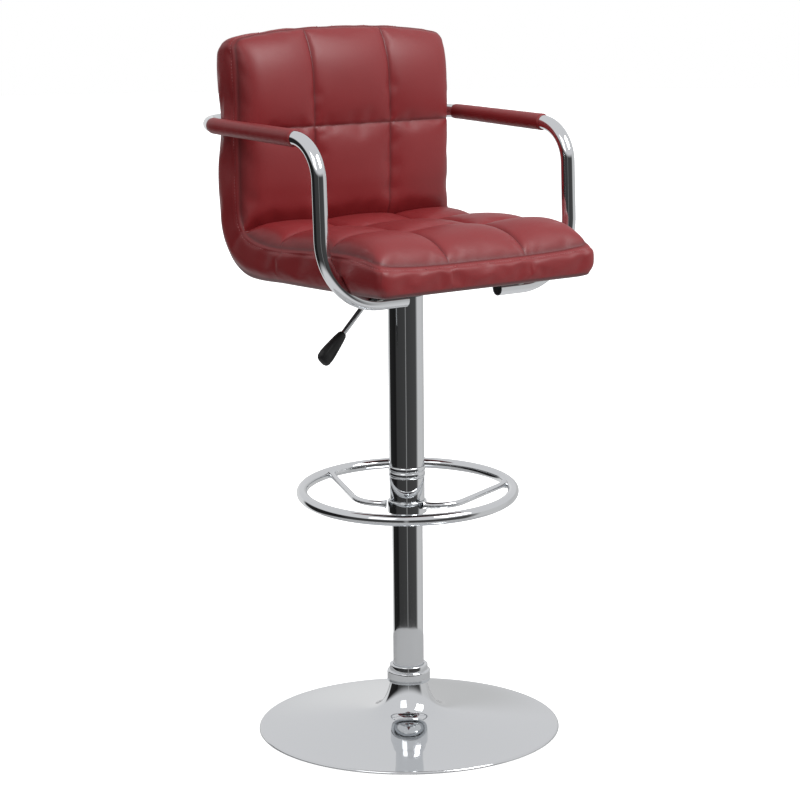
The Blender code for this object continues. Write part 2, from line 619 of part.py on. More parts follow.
def sleeve_path(side):
    """The padded stretch of the arm: straight, then a little way round the rear bend."""
    corner = arm_corner(side)
    straight = [corner + ARM_BACK * along for along in SLEEVE_STATIONS]
    turn = arc(rear_bend_middle(side), ARM_REAR_BEND, 0.0, 15.0, 1, (side, 0.0, 0.0), ARM_BACK)
    return straight + turn


SLEEVE_STATIONS = (0.0560, 0.0610, 0.1190, 0.1790)  # along the armrest from the front corner
SLEEVE_FRONT, SLEEVE_TAPER = 0.0124, 0.0010         # radius, and how much thinner at the rear


for word, side in (("left", -1.0), ("right", 1.0)):
    swept(f"arm_tube_{word}", arm_path(side), ARM_TUBE, CHROME, SEAT, 12,
          inner=ARM_TUBE - ARM_WALL)
    run = sleeve_path(side)
    taper = [SLEEVE_FRONT - SLEEVE_TAPER * k / (len(run) - 1) for k in range(len(run))]
    taper[0] -= 0.0008
    taper[-1] -= 0.0003
    swept(f"arm_sleeve_{word}", run, taper, LEATHERETTE, SEAT, 12, inner=ARM_TUBE + GAP)
    swept(f"arm_end_plug_{word}", [Vector((side * x, ARM_Y, ARM_LOW)) for x in
                                   (ARM_START + 0.0002, ARM_START + 0.0150)], ARM_TUBE - ARM_WALL - GAP, PLASTIC, SEAT)

turned("arm_joiner", [(ARM_TUBE + GAP, JOINER_HALF), (0.0120, JOINER_HALF),
                      (0.0122, JOINER_HALF - 0.001), (0.0122, 0.001 - JOINER_HALF),
                      (0.0120, -JOINER_HALF), (ARM_TUBE + GAP, -JOINER_HALF)],
       CHROME, SEAT, axis=(1.0, 0.0, 0.0), centre=(0.0, ARM_REAR, ARM_REAR_Z))
JOINER_PLATE_REAR = SHELL_REAR + GAP + 0.0020
BACK_PLATE = block("joiner_plate", (-0.0200, SHELL_REAR + GAP, ARM_REAR_Z - 0.0240),
                   (0.0200, JOINER_PLATE_REAR, ARM_REAR_Z + 0.0240), CHROME, SEAT)
for number, z in enumerate((ARM_REAR_Z - 0.0180, ARM_REAR_Z + 0.0180), 1):
    for sheet in (BACK_PLATE, COVER, BOARD):
        cut(sheet, drill(f"{sheet.name}_back_hole_{number}", 0.0024, (0.0, SHELL_REAR, z),
                         (0.0, 1.0, 0.0), 0.0240, SEAT))
    screw(f"joiner_screw_{number}", (0.0, JOINER_PLATE_REAR + GAP, z), (0.0, -1.0, 0.0), 0.0020,
          0.0130, 0.0042, 0.0026, STEEL, SEAT)
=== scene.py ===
"""Adjustable swivel stool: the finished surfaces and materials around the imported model.

Metres, +Z up, the sitter faces -Y. The sections follow the stool as it is put together, from
the base plate up to the seat.
"""

import math

import bmesh
import bpy
import numpy as np
from mathutils import Matrix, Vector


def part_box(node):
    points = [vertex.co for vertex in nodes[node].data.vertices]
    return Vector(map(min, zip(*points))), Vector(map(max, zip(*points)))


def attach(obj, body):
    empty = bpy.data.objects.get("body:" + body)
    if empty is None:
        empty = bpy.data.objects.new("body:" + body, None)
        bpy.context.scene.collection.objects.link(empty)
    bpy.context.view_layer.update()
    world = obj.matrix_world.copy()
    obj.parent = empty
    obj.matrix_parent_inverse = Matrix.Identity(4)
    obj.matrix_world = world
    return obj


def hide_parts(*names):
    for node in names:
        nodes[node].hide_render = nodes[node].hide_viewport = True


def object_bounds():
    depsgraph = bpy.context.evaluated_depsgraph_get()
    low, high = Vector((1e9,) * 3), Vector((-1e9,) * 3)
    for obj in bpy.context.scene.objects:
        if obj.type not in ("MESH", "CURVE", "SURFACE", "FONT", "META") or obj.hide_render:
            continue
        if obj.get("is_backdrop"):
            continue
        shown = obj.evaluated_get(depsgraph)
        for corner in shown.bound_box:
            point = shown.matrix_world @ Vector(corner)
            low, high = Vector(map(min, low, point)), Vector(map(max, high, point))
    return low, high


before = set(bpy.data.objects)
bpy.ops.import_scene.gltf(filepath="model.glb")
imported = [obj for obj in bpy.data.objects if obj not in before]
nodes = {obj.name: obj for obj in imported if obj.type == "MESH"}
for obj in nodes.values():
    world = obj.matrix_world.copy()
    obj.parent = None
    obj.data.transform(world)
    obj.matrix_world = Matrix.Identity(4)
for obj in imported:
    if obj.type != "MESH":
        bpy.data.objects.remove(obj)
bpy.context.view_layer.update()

# ---- Base plate ------------------------------------------------------------------------------
# A trumpet-shaped disc spun from 1.6 mm steel sheet, polished and chrome plated. Its rim is
# rolled down over a rubber edge ring, and an iron disc inside keeps the stool from tipping.


def linear(code):
    """An sRGB hex colour as linear red, green, blue and an alpha of one."""
    parts = [int(code[k:k + 2], 16) / 255.0 for k in (1, 3, 5)]
    return (*(v / 12.92 if v <= 0.04045 else ((v + 0.055) / 1.055) ** 2.4 for v in parts), 1.0)


def add(look, kind, inputs=None, **settings):
    """Add a node: settings are its own values, inputs are numbers, colours or links by socket."""
    tree = look.node_tree
    made = tree.nodes.new(kind)
    for word, value in settings.items():
        setattr(made, word, value)
    for socket, value in (inputs or {}).items():
        if isinstance(value, bpy.types.NodeSocket):
            tree.links.new(value, made.inputs[socket])
        else:
            made.inputs[socket].default_value = value
    return made


def new_look(name, **sockets):
    """A material with a Principled shader: the sockets that are the same all over are set."""
    look = bpy.data.materials.new(name)
    look.use_nodes = True
    shader = look.node_tree.nodes["Principled BSDF"]
    for socket, value in sockets.items():
        shader.inputs[socket.replace("_", " ")].default_value = value
    return look, shader


def chrome_plate():
    """Decorative chrome over polished steel: a mirror, a little blurred where it was handled."""
    look, shader = new_look("chrome_plate", Base_Color=linear("#DFE1E3"), Metallic=1.0)
    place = add(look, "ShaderNodeTexCoord").outputs["Object"]
    haze = add(look, "ShaderNodeTexNoise", {"Vector": place, "Scale": 28.0, "Detail": 5.0})
    blur = add(look, "ShaderNodeMapRange", {"Value": haze.outputs["Fac"], "From Min": 0.35,
                                            "From Max": 0.75, "To Min": 0.025, "To Max": 0.085})
    ripple = add(look, "ShaderNodeTexNoise", {"Vector": place, "Scale": 45.0, "Detail": 1.0})
    bump = add(look, "ShaderNodeBump", {"Height": ripple.outputs["Fac"], "Strength": 0.12,
                                        "Distance": 0.0004})
    look.node_tree.links.new(blur.outputs["Result"], shader.inputs["Roughness"])
    look.node_tree.links.new(bump.outputs["Normal"], shader.inputs["Normal"])
    return look


def moulded_rubber():
    """Black synthetic rubber from a mould: matt, with a dusty mottle."""
    look, shader = new_look("moulded_rubber", Roughness=0.82, Specular_IOR_Level=0.3)
    place = add(look, "ShaderNodeTexCoord").outputs["Object"]
    dust = add(look, "ShaderNodeTexNoise", {"Vector": place, "Scale": 60.0, "Detail": 4.0})
    mix = add(look, "ShaderNodeMix", {0: dust.outputs["Fac"], 6: linear("#131313"),
                                      7: linear("#242322")}, data_type="RGBA")
    look.node_tree.links.new(mix.outputs[2], shader.inputs["Base Color"])
    return look


def sand_cast_iron():
    """Grey iron from a sand mould: dark, rough, with the mould's grit of about a millimetre."""
    look, shader = new_look("sand_cast_iron", Metallic=0.8, Roughness=0.7)
    place = add(look, "ShaderNodeTexCoord").outputs["Object"]
    grit = add(look, "ShaderNodeTexNoise", {"Vector": place, "Scale": 900.0, "Detail": 3.0})
    mix = add(look, "ShaderNodeMix", {0: grit.outputs["Fac"], 6: linear("#2B2A29"),
                                      7: linear("#5A5856")}, data_type="RGBA")
    bump = add(look, "ShaderNodeBump", {"Height": grit.outputs["Fac"], "Strength": 0.5,
                                        "Distance": 0.0004})
    look.node_tree.links.new(mix.outputs[2], shader.inputs["Base Color"])
    look.node_tree.links.new(bump.outputs["Normal"], shader.inputs["Normal"])
    return look


def grid_faces(rows, columns, round_rows=False, round_columns=True):
    """Four-sided faces of a grid of points; a round direction joins its end to its start."""
    r, c = np.meshgrid(np.arange(rows if round_rows else rows - 1),
                       np.arange(columns if round_columns else columns - 1), indexing="ij")
    r_next, c_next = (r + 1) % rows * columns, (c + 1) % columns
    r = r * columns
    return np.stack([r + c, r + c_next, r_next + c_next, r_next + c], -1).reshape(-1, 4)


def make_piece(name, points, faces, look, body, slot, stands_for=(), corner=40.0):
    """A closed mesh that rides on a body. Its faces are turned round together if the volume
    that they enclose comes out negative, and points that fall together at a pole are merged."""
    points, faces = np.asarray(points, float).reshape(-1, 3), np.asarray(faces)
    a, b, c, d = (points[faces[:, k]] for k in range(4))
    if (np.cross(a, b) * c + np.cross(a, c) * d).sum() < 0.0:
        faces = faces[:, ::-1]
    mesh = bpy.data.meshes.new(name)
    mesh.from_pydata(points.tolist(), [], faces.tolist())
    work = bmesh.new()
    work.from_mesh(mesh)
    bmesh.ops.remove_doubles(work, verts=work.verts, dist=1e-7)
    work.to_mesh(mesh)
    work.free()
    mesh.materials.append(look)
    mesh.shade_smooth()
    mesh.set_sharp_from_angle(angle=math.radians(corner))
    made = bpy.data.objects.new(name, mesh)
    bpy.context.scene.collection.objects.link(made)
    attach(made, body)
    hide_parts(*stands_for)
    return made


def turned(profile, sides=128):
    """A closed outline of (radius, height) turned about Z: x = r cos a, y = r sin a, z = h."""
    radius, height = np.asarray(profile, float).T
    turn = np.linspace(0.0, 2.0 * math.pi, sides, endpoint=False)[:, None]
    points = np.stack([radius * np.cos(turn), radius * np.sin(turn), height + 0.0 * turn], -1)
    return points, grid_faces(sides, len(radius), True, True)


def refinish(look, *names):
    """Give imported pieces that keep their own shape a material."""
    for name in names:
        mesh = nodes[name].data
        mesh.materials.clear()
        mesh.materials.append(look)


CHROME = chrome_plate()
RUBBER = moulded_rubber()

plate_low, plate_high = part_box("base_plate")
collar_low, collar_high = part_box("base_collar")
SHEET = 0.0016                    # thickness of the plate
RIM = plate_high.x                # radius
SKIRT = 0.0042                    # height of the rolled rim
NECK = 0.0275                     # radius of the hole that the column stands in
CONE_RISE = 0.0240                # how far the shallow cone climbs
NECK_FLARE = 0.0100               # how fast the neck dies away


def plate_profile():
    """Height = skirt + cone rise x (way in)^1.3 + neck x e^(-distance / flare); the underside
    is the same line moved square to itself by the sheet's thickness."""
    way = np.linspace(0.0, 1.0, 90) ** 1.8
    r = NECK + (RIM - 0.0030 - NECK) * way
    neck_rise = collar_low.z - 0.0009 - SKIRT - CONE_RISE
    z = (SKIRT + CONE_RISE * ((RIM - r) / (RIM - NECK)) ** 1.3
         + neck_rise * np.exp((NECK - r) / NECK_FLARE))
    roll = np.linspace(0.0, 0.5 * math.pi, 10)[1:]
    edge = z[-1] - 0.0032
    r = np.append(r, RIM - 0.0030 + 0.0030 * np.sin(roll))
    z = np.append(z, edge + 0.0032 * np.cos(roll))
    r, z = np.append(r, RIM), np.append(z, plate_low.z)
    along = np.stack([np.gradient(r), np.gradient(z)], -1)
    along /= np.linalg.norm(along, axis=1)[:, None]
    under = np.stack([r + along[:, 1] * SHEET, z - along[:, 0] * SHEET], -1)
    under[-1] = RIM - SHEET, plate_low.z
    return np.concatenate([np.stack([r, z], -1), under[::-1]])


make_piece("base_plate_skin", *turned(plate_profile(), 192), CHROME, "base", "chrome",
           ["base_plate"])
refinish(RUBBER, "base_edge_ring")
refinish(sand_cast_iron(), "ballast_disc")

# ---- Column ----------------------------------------------------------------------------------
# Drawn steel tube, chrome plated: a fixed lower tube in a turned collar on the base, and a
# wider tube that slides over it, with a trim band and the collar of the foot ring.


def zinc_steel():
    """Zinc-plated steel hardware: grey with a faint brushed blur."""
    look, shader = new_look("zinc_steel", Base_Color=linear("#B9B8B4"), Metallic=1.0)
    place = add(look, "ShaderNodeTexCoord").outputs["Object"]
    haze = add(look, "ShaderNodeTexNoise", {"Vector": place, "Scale": 350.0, "Detail": 4.0})
    blur = add(look, "ShaderNodeMapRange", {"Value": haze.outputs["Fac"], "To Min": 0.22,
                                            "To Max": 0.46})
    look.node_tree.links.new(blur.outputs["Result"], shader.inputs["Roughness"])
    return look


def black_plastic():
    """Black ABS from a textured mould: satin, with a fine pebble of about half a millimetre."""
    look, shader = new_look("black_plastic", Base_Color=linear("#161617"), IOR=1.53)
    place = add(look, "ShaderNodeTexCoord").outputs["Object"]
    pebble = add(look, "ShaderNodeTexNoise", {"Vector": place, "Scale": 1800.0, "Detail": 2.0})
    bump = add(look, "ShaderNodeBump", {"Height": pebble.outputs["Fac"], "Strength": 0.25,
                                        "Distance": 0.0002})
    wear = add(look, "ShaderNodeTexNoise", {"Vector": place, "Scale": 90.0, "Detail": 4.0})
    blur = add(look, "ShaderNodeMapRange", {"Value": wear.outputs["Fac"], "To Min": 0.34,
                                            "To Max": 0.56})
    look.node_tree.links.new(blur.outputs["Result"], shader.inputs["Roughness"])
    look.node_tree.links.new(bump.outputs["Normal"], shader.inputs["Normal"])
    return look


def tube_profile(outer, wall, low, high, edge):
    """A length of tube whose outer edges are rounded by a quarter circle of radius edge."""
    turn = np.linspace(0.0, 0.5 * math.pi, 6)
    top = np.stack([outer - edge + edge * np.sin(turn), high - edge + edge * np.cos(turn)], -1)
    foot = np.stack([outer - edge + edge * np.cos(turn), low + edge - edge * np.sin(turn)], -1)
    return np.concatenate([[(outer - wall, high)], top, foot, [(outer - wall, low)]])


STEEL = zinc_steel()
PLASTIC = black_plastic()
TUBE_EDGE = 0.0005                # rounding of a sawn and plated tube end
for name, body, wall, edge in (("base_column", "base", 0.0020, TUBE_EDGE),
                               ("outer_tube", "lift", 0.0018, TUBE_EDGE),
                               ("footrest_sleeve", "lift", 0.0018, TUBE_EDGE),
                               ("footrest_collar", "lift", 0.0047, 0.0016)):
    low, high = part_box(name)
    make_piece(f"{name}_skin", *turned(tube_profile(high.x, wall, low.z, high.z, edge), 96),
               CHROME, body, "chrome", [name])


def collar_profile():
    """The turned collar on the base: a rounded lower ring and a narrower lip above it."""
    r, low, high = collar_high.x, collar_low.z, collar_high.z
    shoulder = high - 0.0088
    turn = np.linspace(0.0, 0.5 * math.pi, 7)
    ring_edge, lip_edge = 0.0022, 0.0016
    ring_top = np.stack([r - ring_edge * (1 - np.cos(turn)),
                         shoulder - ring_edge * (1 - np.sin(turn))], -1)
    ring_foot = np.stack([r - ring_edge * (1 - np.sin(turn)),
                          low + ring_edge * (1 - np.cos(turn))], -1)
    lip_top = np.stack([0.0286 - lip_edge * (1 - np.cos(turn)),
                        high - lip_edge * (1 - np.sin(turn))], -1)
    return np.concatenate([[(0.0234, high)], lip_top[::-1], [(0.0289, shoulder + 0.0006)],
                           ring_top[::-1], ring_foot[::-1], [(0.0234, low)]])


def band_profile():
    """The trim band: two round beads with a groove between them."""
    low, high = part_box("trim_band")
    z = np.linspace(high.z, low.z, 40)
    way = (z - low.z) / (high.z - low.z)
    bead = np.abs(np.sin(2.0 * math.pi * way)) ** 0.6
    r = high.x - 0.0011 * (1.0 - bead)
    return np.concatenate([[(0.0245, high.z)], np.stack([r, z], -1), [(0.0245, low.z)]])


make_piece("base_collar_skin", *turned(collar_profile(), 96), CHROME, "base", "chrome",
           ["base_collar"])
make_piece("trim_band_skin", *turned(band_profile(), 96), CHROME, "lift", "chrome",
           ["trim_band"])
refinish(STEEL, "base_lock_nut", "rod_seat", "rod_clip", "piston_rod", "collar_screw")
refinish(PLASTIC, "column_guide", "piston", "slide_bush", "swivel_bush")

# ---- Foot ring -------------------------------------------------------------------------------
# A hoop of bent and plated tube. Two thin bars, welded to the collar, sweep out to the hoop;
# each weld is left as a small smooth fillet under the plating.


def carried(path, radii, sides=24):
    """Circles carried along a path: point = path + radius x (side cos a + rise sin a), where
    side and rise are square to the path and turn with it without twisting."""
    path = np.asarray(path, float)
    ahead = np.gradient(path, axis=0)
    ahead /= np.linalg.norm(ahead, axis=1)[:, None]
    side = np.empty_like(path)
    carry = np.cross(ahead[0], (0.31, 0.22, 0.92))
    for k, way in enumerate(ahead):
        carry = carry - way * carry.dot(way)
        carry /= np.linalg.norm(carry)
        side[k] = carry
    rise = np.cross(ahead, side)
    turn = np.linspace(0.0, 2.0 * math.pi, sides, endpoint=False)[None, :, None]
    radii = np.broadcast_to(radii, len(path))[:, None, None]
    return path[:, None] + radii * (side[:, None] * np.cos(turn) + rise[:, None] * np.sin(turn))


def hollow(path, outer, inner, sides=40):
    """A pipe: the outer circles one way along the path, and the bore's circles back again."""
    skins = np.concatenate([carried(path, outer, sides), carried(path, inner, sides)[::-1]])
    return skins, grid_faces(len(skins), sides, True, True)


def solid_bar(path, radii, sides=24):
    """A bar closed at both ends, where a last circle of no radius makes the pole."""
    path = np.asarray(path, float)
    radii = np.broadcast_to(radii, len(path))
    reach = 1e-5
    ahead, behind = path[-1] - path[-2], path[0] - path[1]
    path = np.concatenate([[path[0] + behind * reach], path, [path[-1] + ahead * reach]])
    rings = carried(path, np.concatenate([[0.0], radii, [0.0]]), sides)
    return rings, grid_faces(len(rings), sides, False, True)


def arc_points(centre, radius, first, last, across, up, steps=16):
    """centre + radius (across cos a + up sin a), with a from first to last in degrees."""
    a = np.radians(np.linspace(first, last, steps + 1))[:, None]
    return (np.asarray(centre) + radius * (np.asarray(across) * np.cos(a)
                                           + np.asarray(up) * np.sin(a)))


RING_TURN = math.radians(50.7)    # way the ring points, from +X towards +Y
RING_RISE = math.radians(3.2)     # the ring climbs away from the column
RING_OFFSET = 0.0600              # ring centre out from the column
RING_TUBE = 0.0085
ring_low, ring_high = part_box("footrest_ring")
ring_out = np.array([math.cos(RING_TURN) * math.cos(RING_RISE),
                     math.sin(RING_TURN) * math.cos(RING_RISE), math.sin(RING_RISE)])
ring_side = np.array([-math.sin(RING_TURN), math.cos(RING_TURN), 0.0])
ring_up = np.cross(ring_out, ring_side)
ring_centre = np.array([(ring_low.x + ring_high.x) / 2, (ring_low.y + ring_high.y) / 2,
                        (ring_low.z + ring_high.z) / 2])
ring_radius = (ring_high.x - ring_low.x) / 2 - RING_TUBE


def hoop():
    """centre + (R + r cos b)(out cos a + side sin a) + up r sin b."""
    a = np.linspace(0.0, 2.0 * math.pi, 160, endpoint=False)[:, None, None]
    b = np.linspace(0.0, 2.0 * math.pi, 28, endpoint=False)[None, :, None]
    spoke = ring_out * np.cos(a) + ring_side * np.sin(a)
    points = ring_centre + (ring_radius + RING_TUBE * np.cos(b)) * spoke
    return points + ring_up * RING_TUBE * np.sin(b), grid_faces(160, 28, True, True)


BAR_RADIUS = 0.0047
BAR_TURN = math.radians(42.0)     # way between the two bars
BAR_BACK, BAR_START = 0.0175, 0.0283
BAR_CORNER, BAR_BEND = 0.0690, 0.0500
BAR_SPREAD = math.radians(25.5)   # slant of the outer run of each bar


def bar(way):
    """Sideways out of the collar, a quarter-turn or so, then straight out to the hoop. It is
    thicker where it is welded: radius x (1 + 0.5 e^(-distance to the nearer end / 3 mm))."""
    skew = RING_TURN - BAR_TURN
    out = ring_out * math.cos(skew) - ring_side * math.sin(skew)
    across = (ring_out * math.sin(skew) + ring_side * math.cos(skew)) * way
    level = ring_centre - ring_out * RING_OFFSET - out * BAR_BACK
    corner = level + across * BAR_CORNER
    turn = 0.5 * math.pi - BAR_SPREAD
    middle = corner - across * BAR_BEND * math.tan(turn / 2) + out * BAR_BEND
    bend = arc_points(middle, BAR_BEND, 0.0, math.degrees(turn), -out, across, 24)
    ahead = out * math.cos(BAR_SPREAD) + across * math.sin(BAR_SPREAD)
    away = corner - ring_centre
    run = math.sqrt(away.dot(ahead) ** 2 - away.dot(away) + (ring_radius - RING_TUBE) ** 2)
    end = corner + ahead * (run - away.dot(ahead) - 0.0006)
    path = np.concatenate([[level + across * BAR_START, level + across * (BAR_START + 0.003)],
                           bend, bend[-1] + np.outer((0.30, 0.60, 0.85, 0.93, 0.97, 1.0),
                                                     end - bend[-1])])
    run = np.cumsum(np.linalg.norm(np.diff(path, axis=0, prepend=path[:1]), axis=1))
    to_weld = np.minimum(run, run[-1] - run)
    return solid_bar(path, BAR_RADIUS * (1.0 + 0.5 * np.exp(-to_weld / 0.003)), 24)


make_piece("footrest_hoop", *hoop(), CHROME, "lift", "chrome", ["footrest_ring"])
for word, way in (("left", 1.0), ("right", -1.0)):
    make_piece(f"footrest_bar_{word}", *bar(way), CHROME, "lift", "chrome",
               [f"footrest_strut_{word}"])

# ---- Gas spring, hub and plates --------------------------------------------------------------
# The spring's cylinder, the pressed hub that it wedges into, and two 3 mm steel plates that
# carry the seat and the arms. All are powder coated black; their bolts are zinc plated.


def powder_coat():
    """Black powder coat on steel: even satin black with a fine orange-peel of 1 to 2 mm."""
    look, shader = new_look("powder_coat", Base_Color=linear("#1A1A1A"), Roughness=0.46)
    place = add(look, "ShaderNodeTexCoord").outputs["Object"]
    peel = add(look, "ShaderNodeTexNoise", {"Vector": place, "Scale": 650.0, "Detail": 1.0})
    bump = add(look, "ShaderNodeBump", {"Height": peel.outputs["Fac"], "Strength": 0.3,
                                        "Distance": 0.0003})
    look.node_tree.links.new(bump.outputs["Normal"], shader.inputs["Normal"])
    return look


BLACK = powder_coat()
refinish(BLACK, "gas_cylinder", "taper_hub", "mount_plate", "arm_plate")
refinish(RUBBER, "rod_seal")
refinish(STEEL, "lever_pivot_pin", "valve_pin",
         *(f"{kind}_bolt_{k}" for kind in ("mount", "arm") for k in range(1, 5)))

# ---- Height lever ----------------------------------------------------------------------------
# An 8 mm plated steel rod, bent down at a slant, with a moulded black plastic paddle pressed
# on its end.


X_AXIS, Y_AXIS, Z_AXIS = np.eye(3)
LEVER_DOWN = math.radians(44.0)
LEVER_ROD = 0.0040
LEVER_BEND = 0.0140               # radius of the rod's bend
LEVER_BEND_X = -0.0500            # where the bend begins
LEVER_STRAIGHT = 0.0860           # from the bend to the rod's tip
PADDLE_OVERLAP = 0.0104           # the paddle begins this far before the tip
rod_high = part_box("lever_rod")[1]
lever_z = rod_high.z - LEVER_ROD
lever_way = np.array([-math.cos(LEVER_DOWN), 0.0, -math.sin(LEVER_DOWN)])
bend_run = arc_points((LEVER_BEND_X, 0.0, lever_z - LEVER_BEND), LEVER_BEND, 90.0,
                      90.0 + math.degrees(LEVER_DOWN), X_AXIS, Z_AXIS)
lever_tip = bend_run[-1] + lever_way * LEVER_STRAIGHT
lever_run = np.concatenate([[(rod_high.x, 0.0, lever_z), (0.6 * LEVER_BEND_X, 0.0, lever_z)],
                            bend_run, [(bend_run[-1] + lever_tip) / 2, lever_tip]])
make_piece("lever_bar", *solid_bar(lever_run, LEVER_ROD, 28), CHROME, "lever", "steel",
           ["lever_rod"])


def paddle():
    """Rounded-rectangle sections along the rod: |u/wide|^p + |v/thin|^p = 1 with p about 2.6,
    wide and thin read from a few stations, and the two ends drawn in to a pole."""
    stations = np.array([(0.0, 0.0, 0.0), (0.0004, 0.0046, 0.0044), (0.0030, 0.0064, 0.0055),
                         (0.0100, 0.0080, 0.0061), (0.0220, 0.0100, 0.0066),
                         (0.0340, 0.0118, 0.0069), (0.0430, 0.0126, 0.0068),
                         (0.0500, 0.0121, 0.0060), (0.0535, 0.0100, 0.0048),
                         (0.0553, 0.0062, 0.0030), (0.0558, 0.0, 0.0)])
    along = np.concatenate([np.linspace(0.0, 0.004, 8), np.linspace(0.006, 0.046, 24),
                            np.linspace(0.048, 0.0558, 16)])
    wide = np.interp(along, stations[:, 0], stations[:, 1])[:, None]
    thin = np.interp(along, stations[:, 0], stations[:, 2])[:, None]
    a = np.linspace(0.0, 2.0 * math.pi, 48, endpoint=False)
    u = np.sign(np.cos(a)) * np.abs(np.cos(a)) ** (2.0 / 2.6)
    v = np.sign(np.sin(a)) * np.abs(np.sin(a)) ** (2.0 / 2.6)
    dish = 0.0012 * np.exp(-((along[:, None] - 0.034) / 0.012) ** 2) * (np.abs(v) > 0.9)
    across = np.cross(lever_way, Y_AXIS)
    centre = lever_tip + lever_way * (along[:, None] - PADDLE_OVERLAP)
    points = (centre[:, None] + across * (wide * u)[..., None]
              + Y_AXIS * ((thin - dish) * v)[..., None])
    return points, grid_faces(len(along), len(a), False, True)


make_piece("lever_paddle", *paddle(), PLASTIC, "lever", "black_plastic", ["lever_handle"], 60.0)

# ---- Arms ------------------------------------------------------------------------------------
# One loop of 21 mm chromed tube on each side: in under the seat, up in front, back along the
# armrest and round behind the back, where a sleeve joins the two. Each armrest is wrapped in
# a sewn strip of the seat's leatherette.
arm_low, arm_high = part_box("arm_tube_right")
ARM_TUBE, ARM_WALL = 0.0105, 0.0014
LOW_BEND, TOP_BEND, REAR_BEND = 0.0950, 0.0580, 0.0750
ARM_START = 0.0850                # where the tube begins under the seat
ARM_LEAN = math.radians(2.0)      # the upright leans back
ARM_RISE = math.radians(2.2)      # the armrest climbs to the rear
CORNER_Z = 0.8948                 # where the lines of the upright and the armrest meet
arm_x, low_z = arm_high.x - ARM_TUBE, arm_low.z + ARM_TUBE
arm_y, rear_y = arm_low.y + ARM_TUBE, arm_high.y - ARM_TUBE
arm_up = np.array([0.0, math.sin(ARM_LEAN), math.cos(ARM_LEAN)])
arm_back = np.array([0.0, math.cos(ARM_RISE), math.sin(ARM_RISE)])
corner_y = arm_y + (CORNER_Z - low_z) * math.tan(ARM_LEAN)
to_rear = (rear_y - corner_y) / math.cos(ARM_RISE) - REAR_BEND


def armrest_at(way, along):
    """Points on the armrest's centre line, so far back from where it meets the upright."""
    start = np.array([arm_x * way, corner_y, CORNER_Z])
    return start + np.multiply.outer(along, arm_back)


def arm_run(way):
    """Straight runs joined by arcs, from under the seat to behind the back."""
    side = X_AXIS * way
    low = np.array([(arm_x - LOW_BEND) * way, arm_y, low_z]) + arm_up * LOW_BEND
    turn = 0.5 * math.pi - ARM_LEAN - ARM_RISE
    front = np.array([0.0, -math.cos(ARM_LEAN), math.sin(ARM_LEAN)])
    top = armrest_at(way, 0.0) - arm_up * TOP_BEND * math.tan(turn / 2) - front * TOP_BEND
    rear = armrest_at(way, to_rear) - side * REAR_BEND
    behind = rear + arm_back * REAR_BEND
    return np.concatenate([
        [(way * ARM_START, arm_y, low_z), (way * (ARM_START + 0.02), arm_y, low_z)],
        arc_points(low, LOW_BEND, -90.0, 0.0, side, arm_up, 28),
        arc_points(top, TOP_BEND, 0.0, math.degrees(turn), front, arm_up, 22),
        arc_points(rear, REAR_BEND, 0.0, 90.0, side, arm_back, 24),
        [behind * (0.5, 1.0, 1.0), (way * 0.0002, behind[1], behind[2])]])


def leatherette():
    """Burgundy vinyl on a knitted back, embossed with a soft grain: satin, with painted shade
    that darkens the colour in the seams' grooves. The grain is drawn 1.6 mm wide, coarser
    than the real 0.8 mm, so that it shows. The point attribute that masks the painted seam
    shade is one on a seam and fades beside it."""
    look, shader = new_look("leatherette", IOR=1.48, Coat_Weight=0.05, Coat_Roughness=0.35,
                            Specular_IOR_Level=0.60)
    place = add(look, "ShaderNodeTexCoord").outputs["Object"]
    cloud = add(look, "ShaderNodeTexNoise", {"Vector": place, "Scale": 14.0, "Detail": 4.0})
    tone = add(look, "ShaderNodeMix", {0: cloud.outputs["Fac"], 6: linear("#7F1B1F"),
                                       7: linear("#8A2125")}, data_type="RGBA")
    # painted shade: the seam mask darkens the colour towards #3A0508 in the seams' grooves
    seam_shade = add(look, "ShaderNodeAttribute", attribute_name="seam_shade").outputs["Fac"]
    depth = add(look, "ShaderNodeMath", {0: seam_shade, 1: 0.55}, operation="MULTIPLY")
    shade = add(look, "ShaderNodeMix", {0: depth.outputs[0], 6: tone.outputs[2],
                                        7: linear("#3A0508")}, data_type="RGBA")
    grain = add(look, "ShaderNodeTexVoronoi", {"Vector": place, "Scale": 620.0},
                feature="SMOOTH_F1")
    fine = add(look, "ShaderNodeTexNoise", {"Vector": place, "Scale": 2400.0, "Detail": 2.0})
    height = add(look, "ShaderNodeMath", {0: grain.outputs["Distance"], 1: fine.outputs["Fac"]},
                 operation="ADD")
    bump = add(look, "ShaderNodeBump", {"Height": height.outputs[0], "Strength": 0.22,
                                        "Distance": 0.00025})
    blur = add(look, "ShaderNodeMapRange", {"Value": cloud.outputs["Fac"], "To Min": 0.40,
                                            "To Max": 0.54})
    look.node_tree.links.new(shade.outputs[2], shader.inputs["Base Color"])
    look.node_tree.links.new(blur.outputs["Result"], shader.inputs["Roughness"])
    look.node_tree.links.new(bump.outputs["Normal"], shader.inputs["Normal"])
    return look


LEATHERETTE = leatherette()


WRAP_START = 0.0510               # the wrap begins here, along the armrest from the corner
WRAP_FRONT, WRAP_TAPER = 0.0122, 0.0012


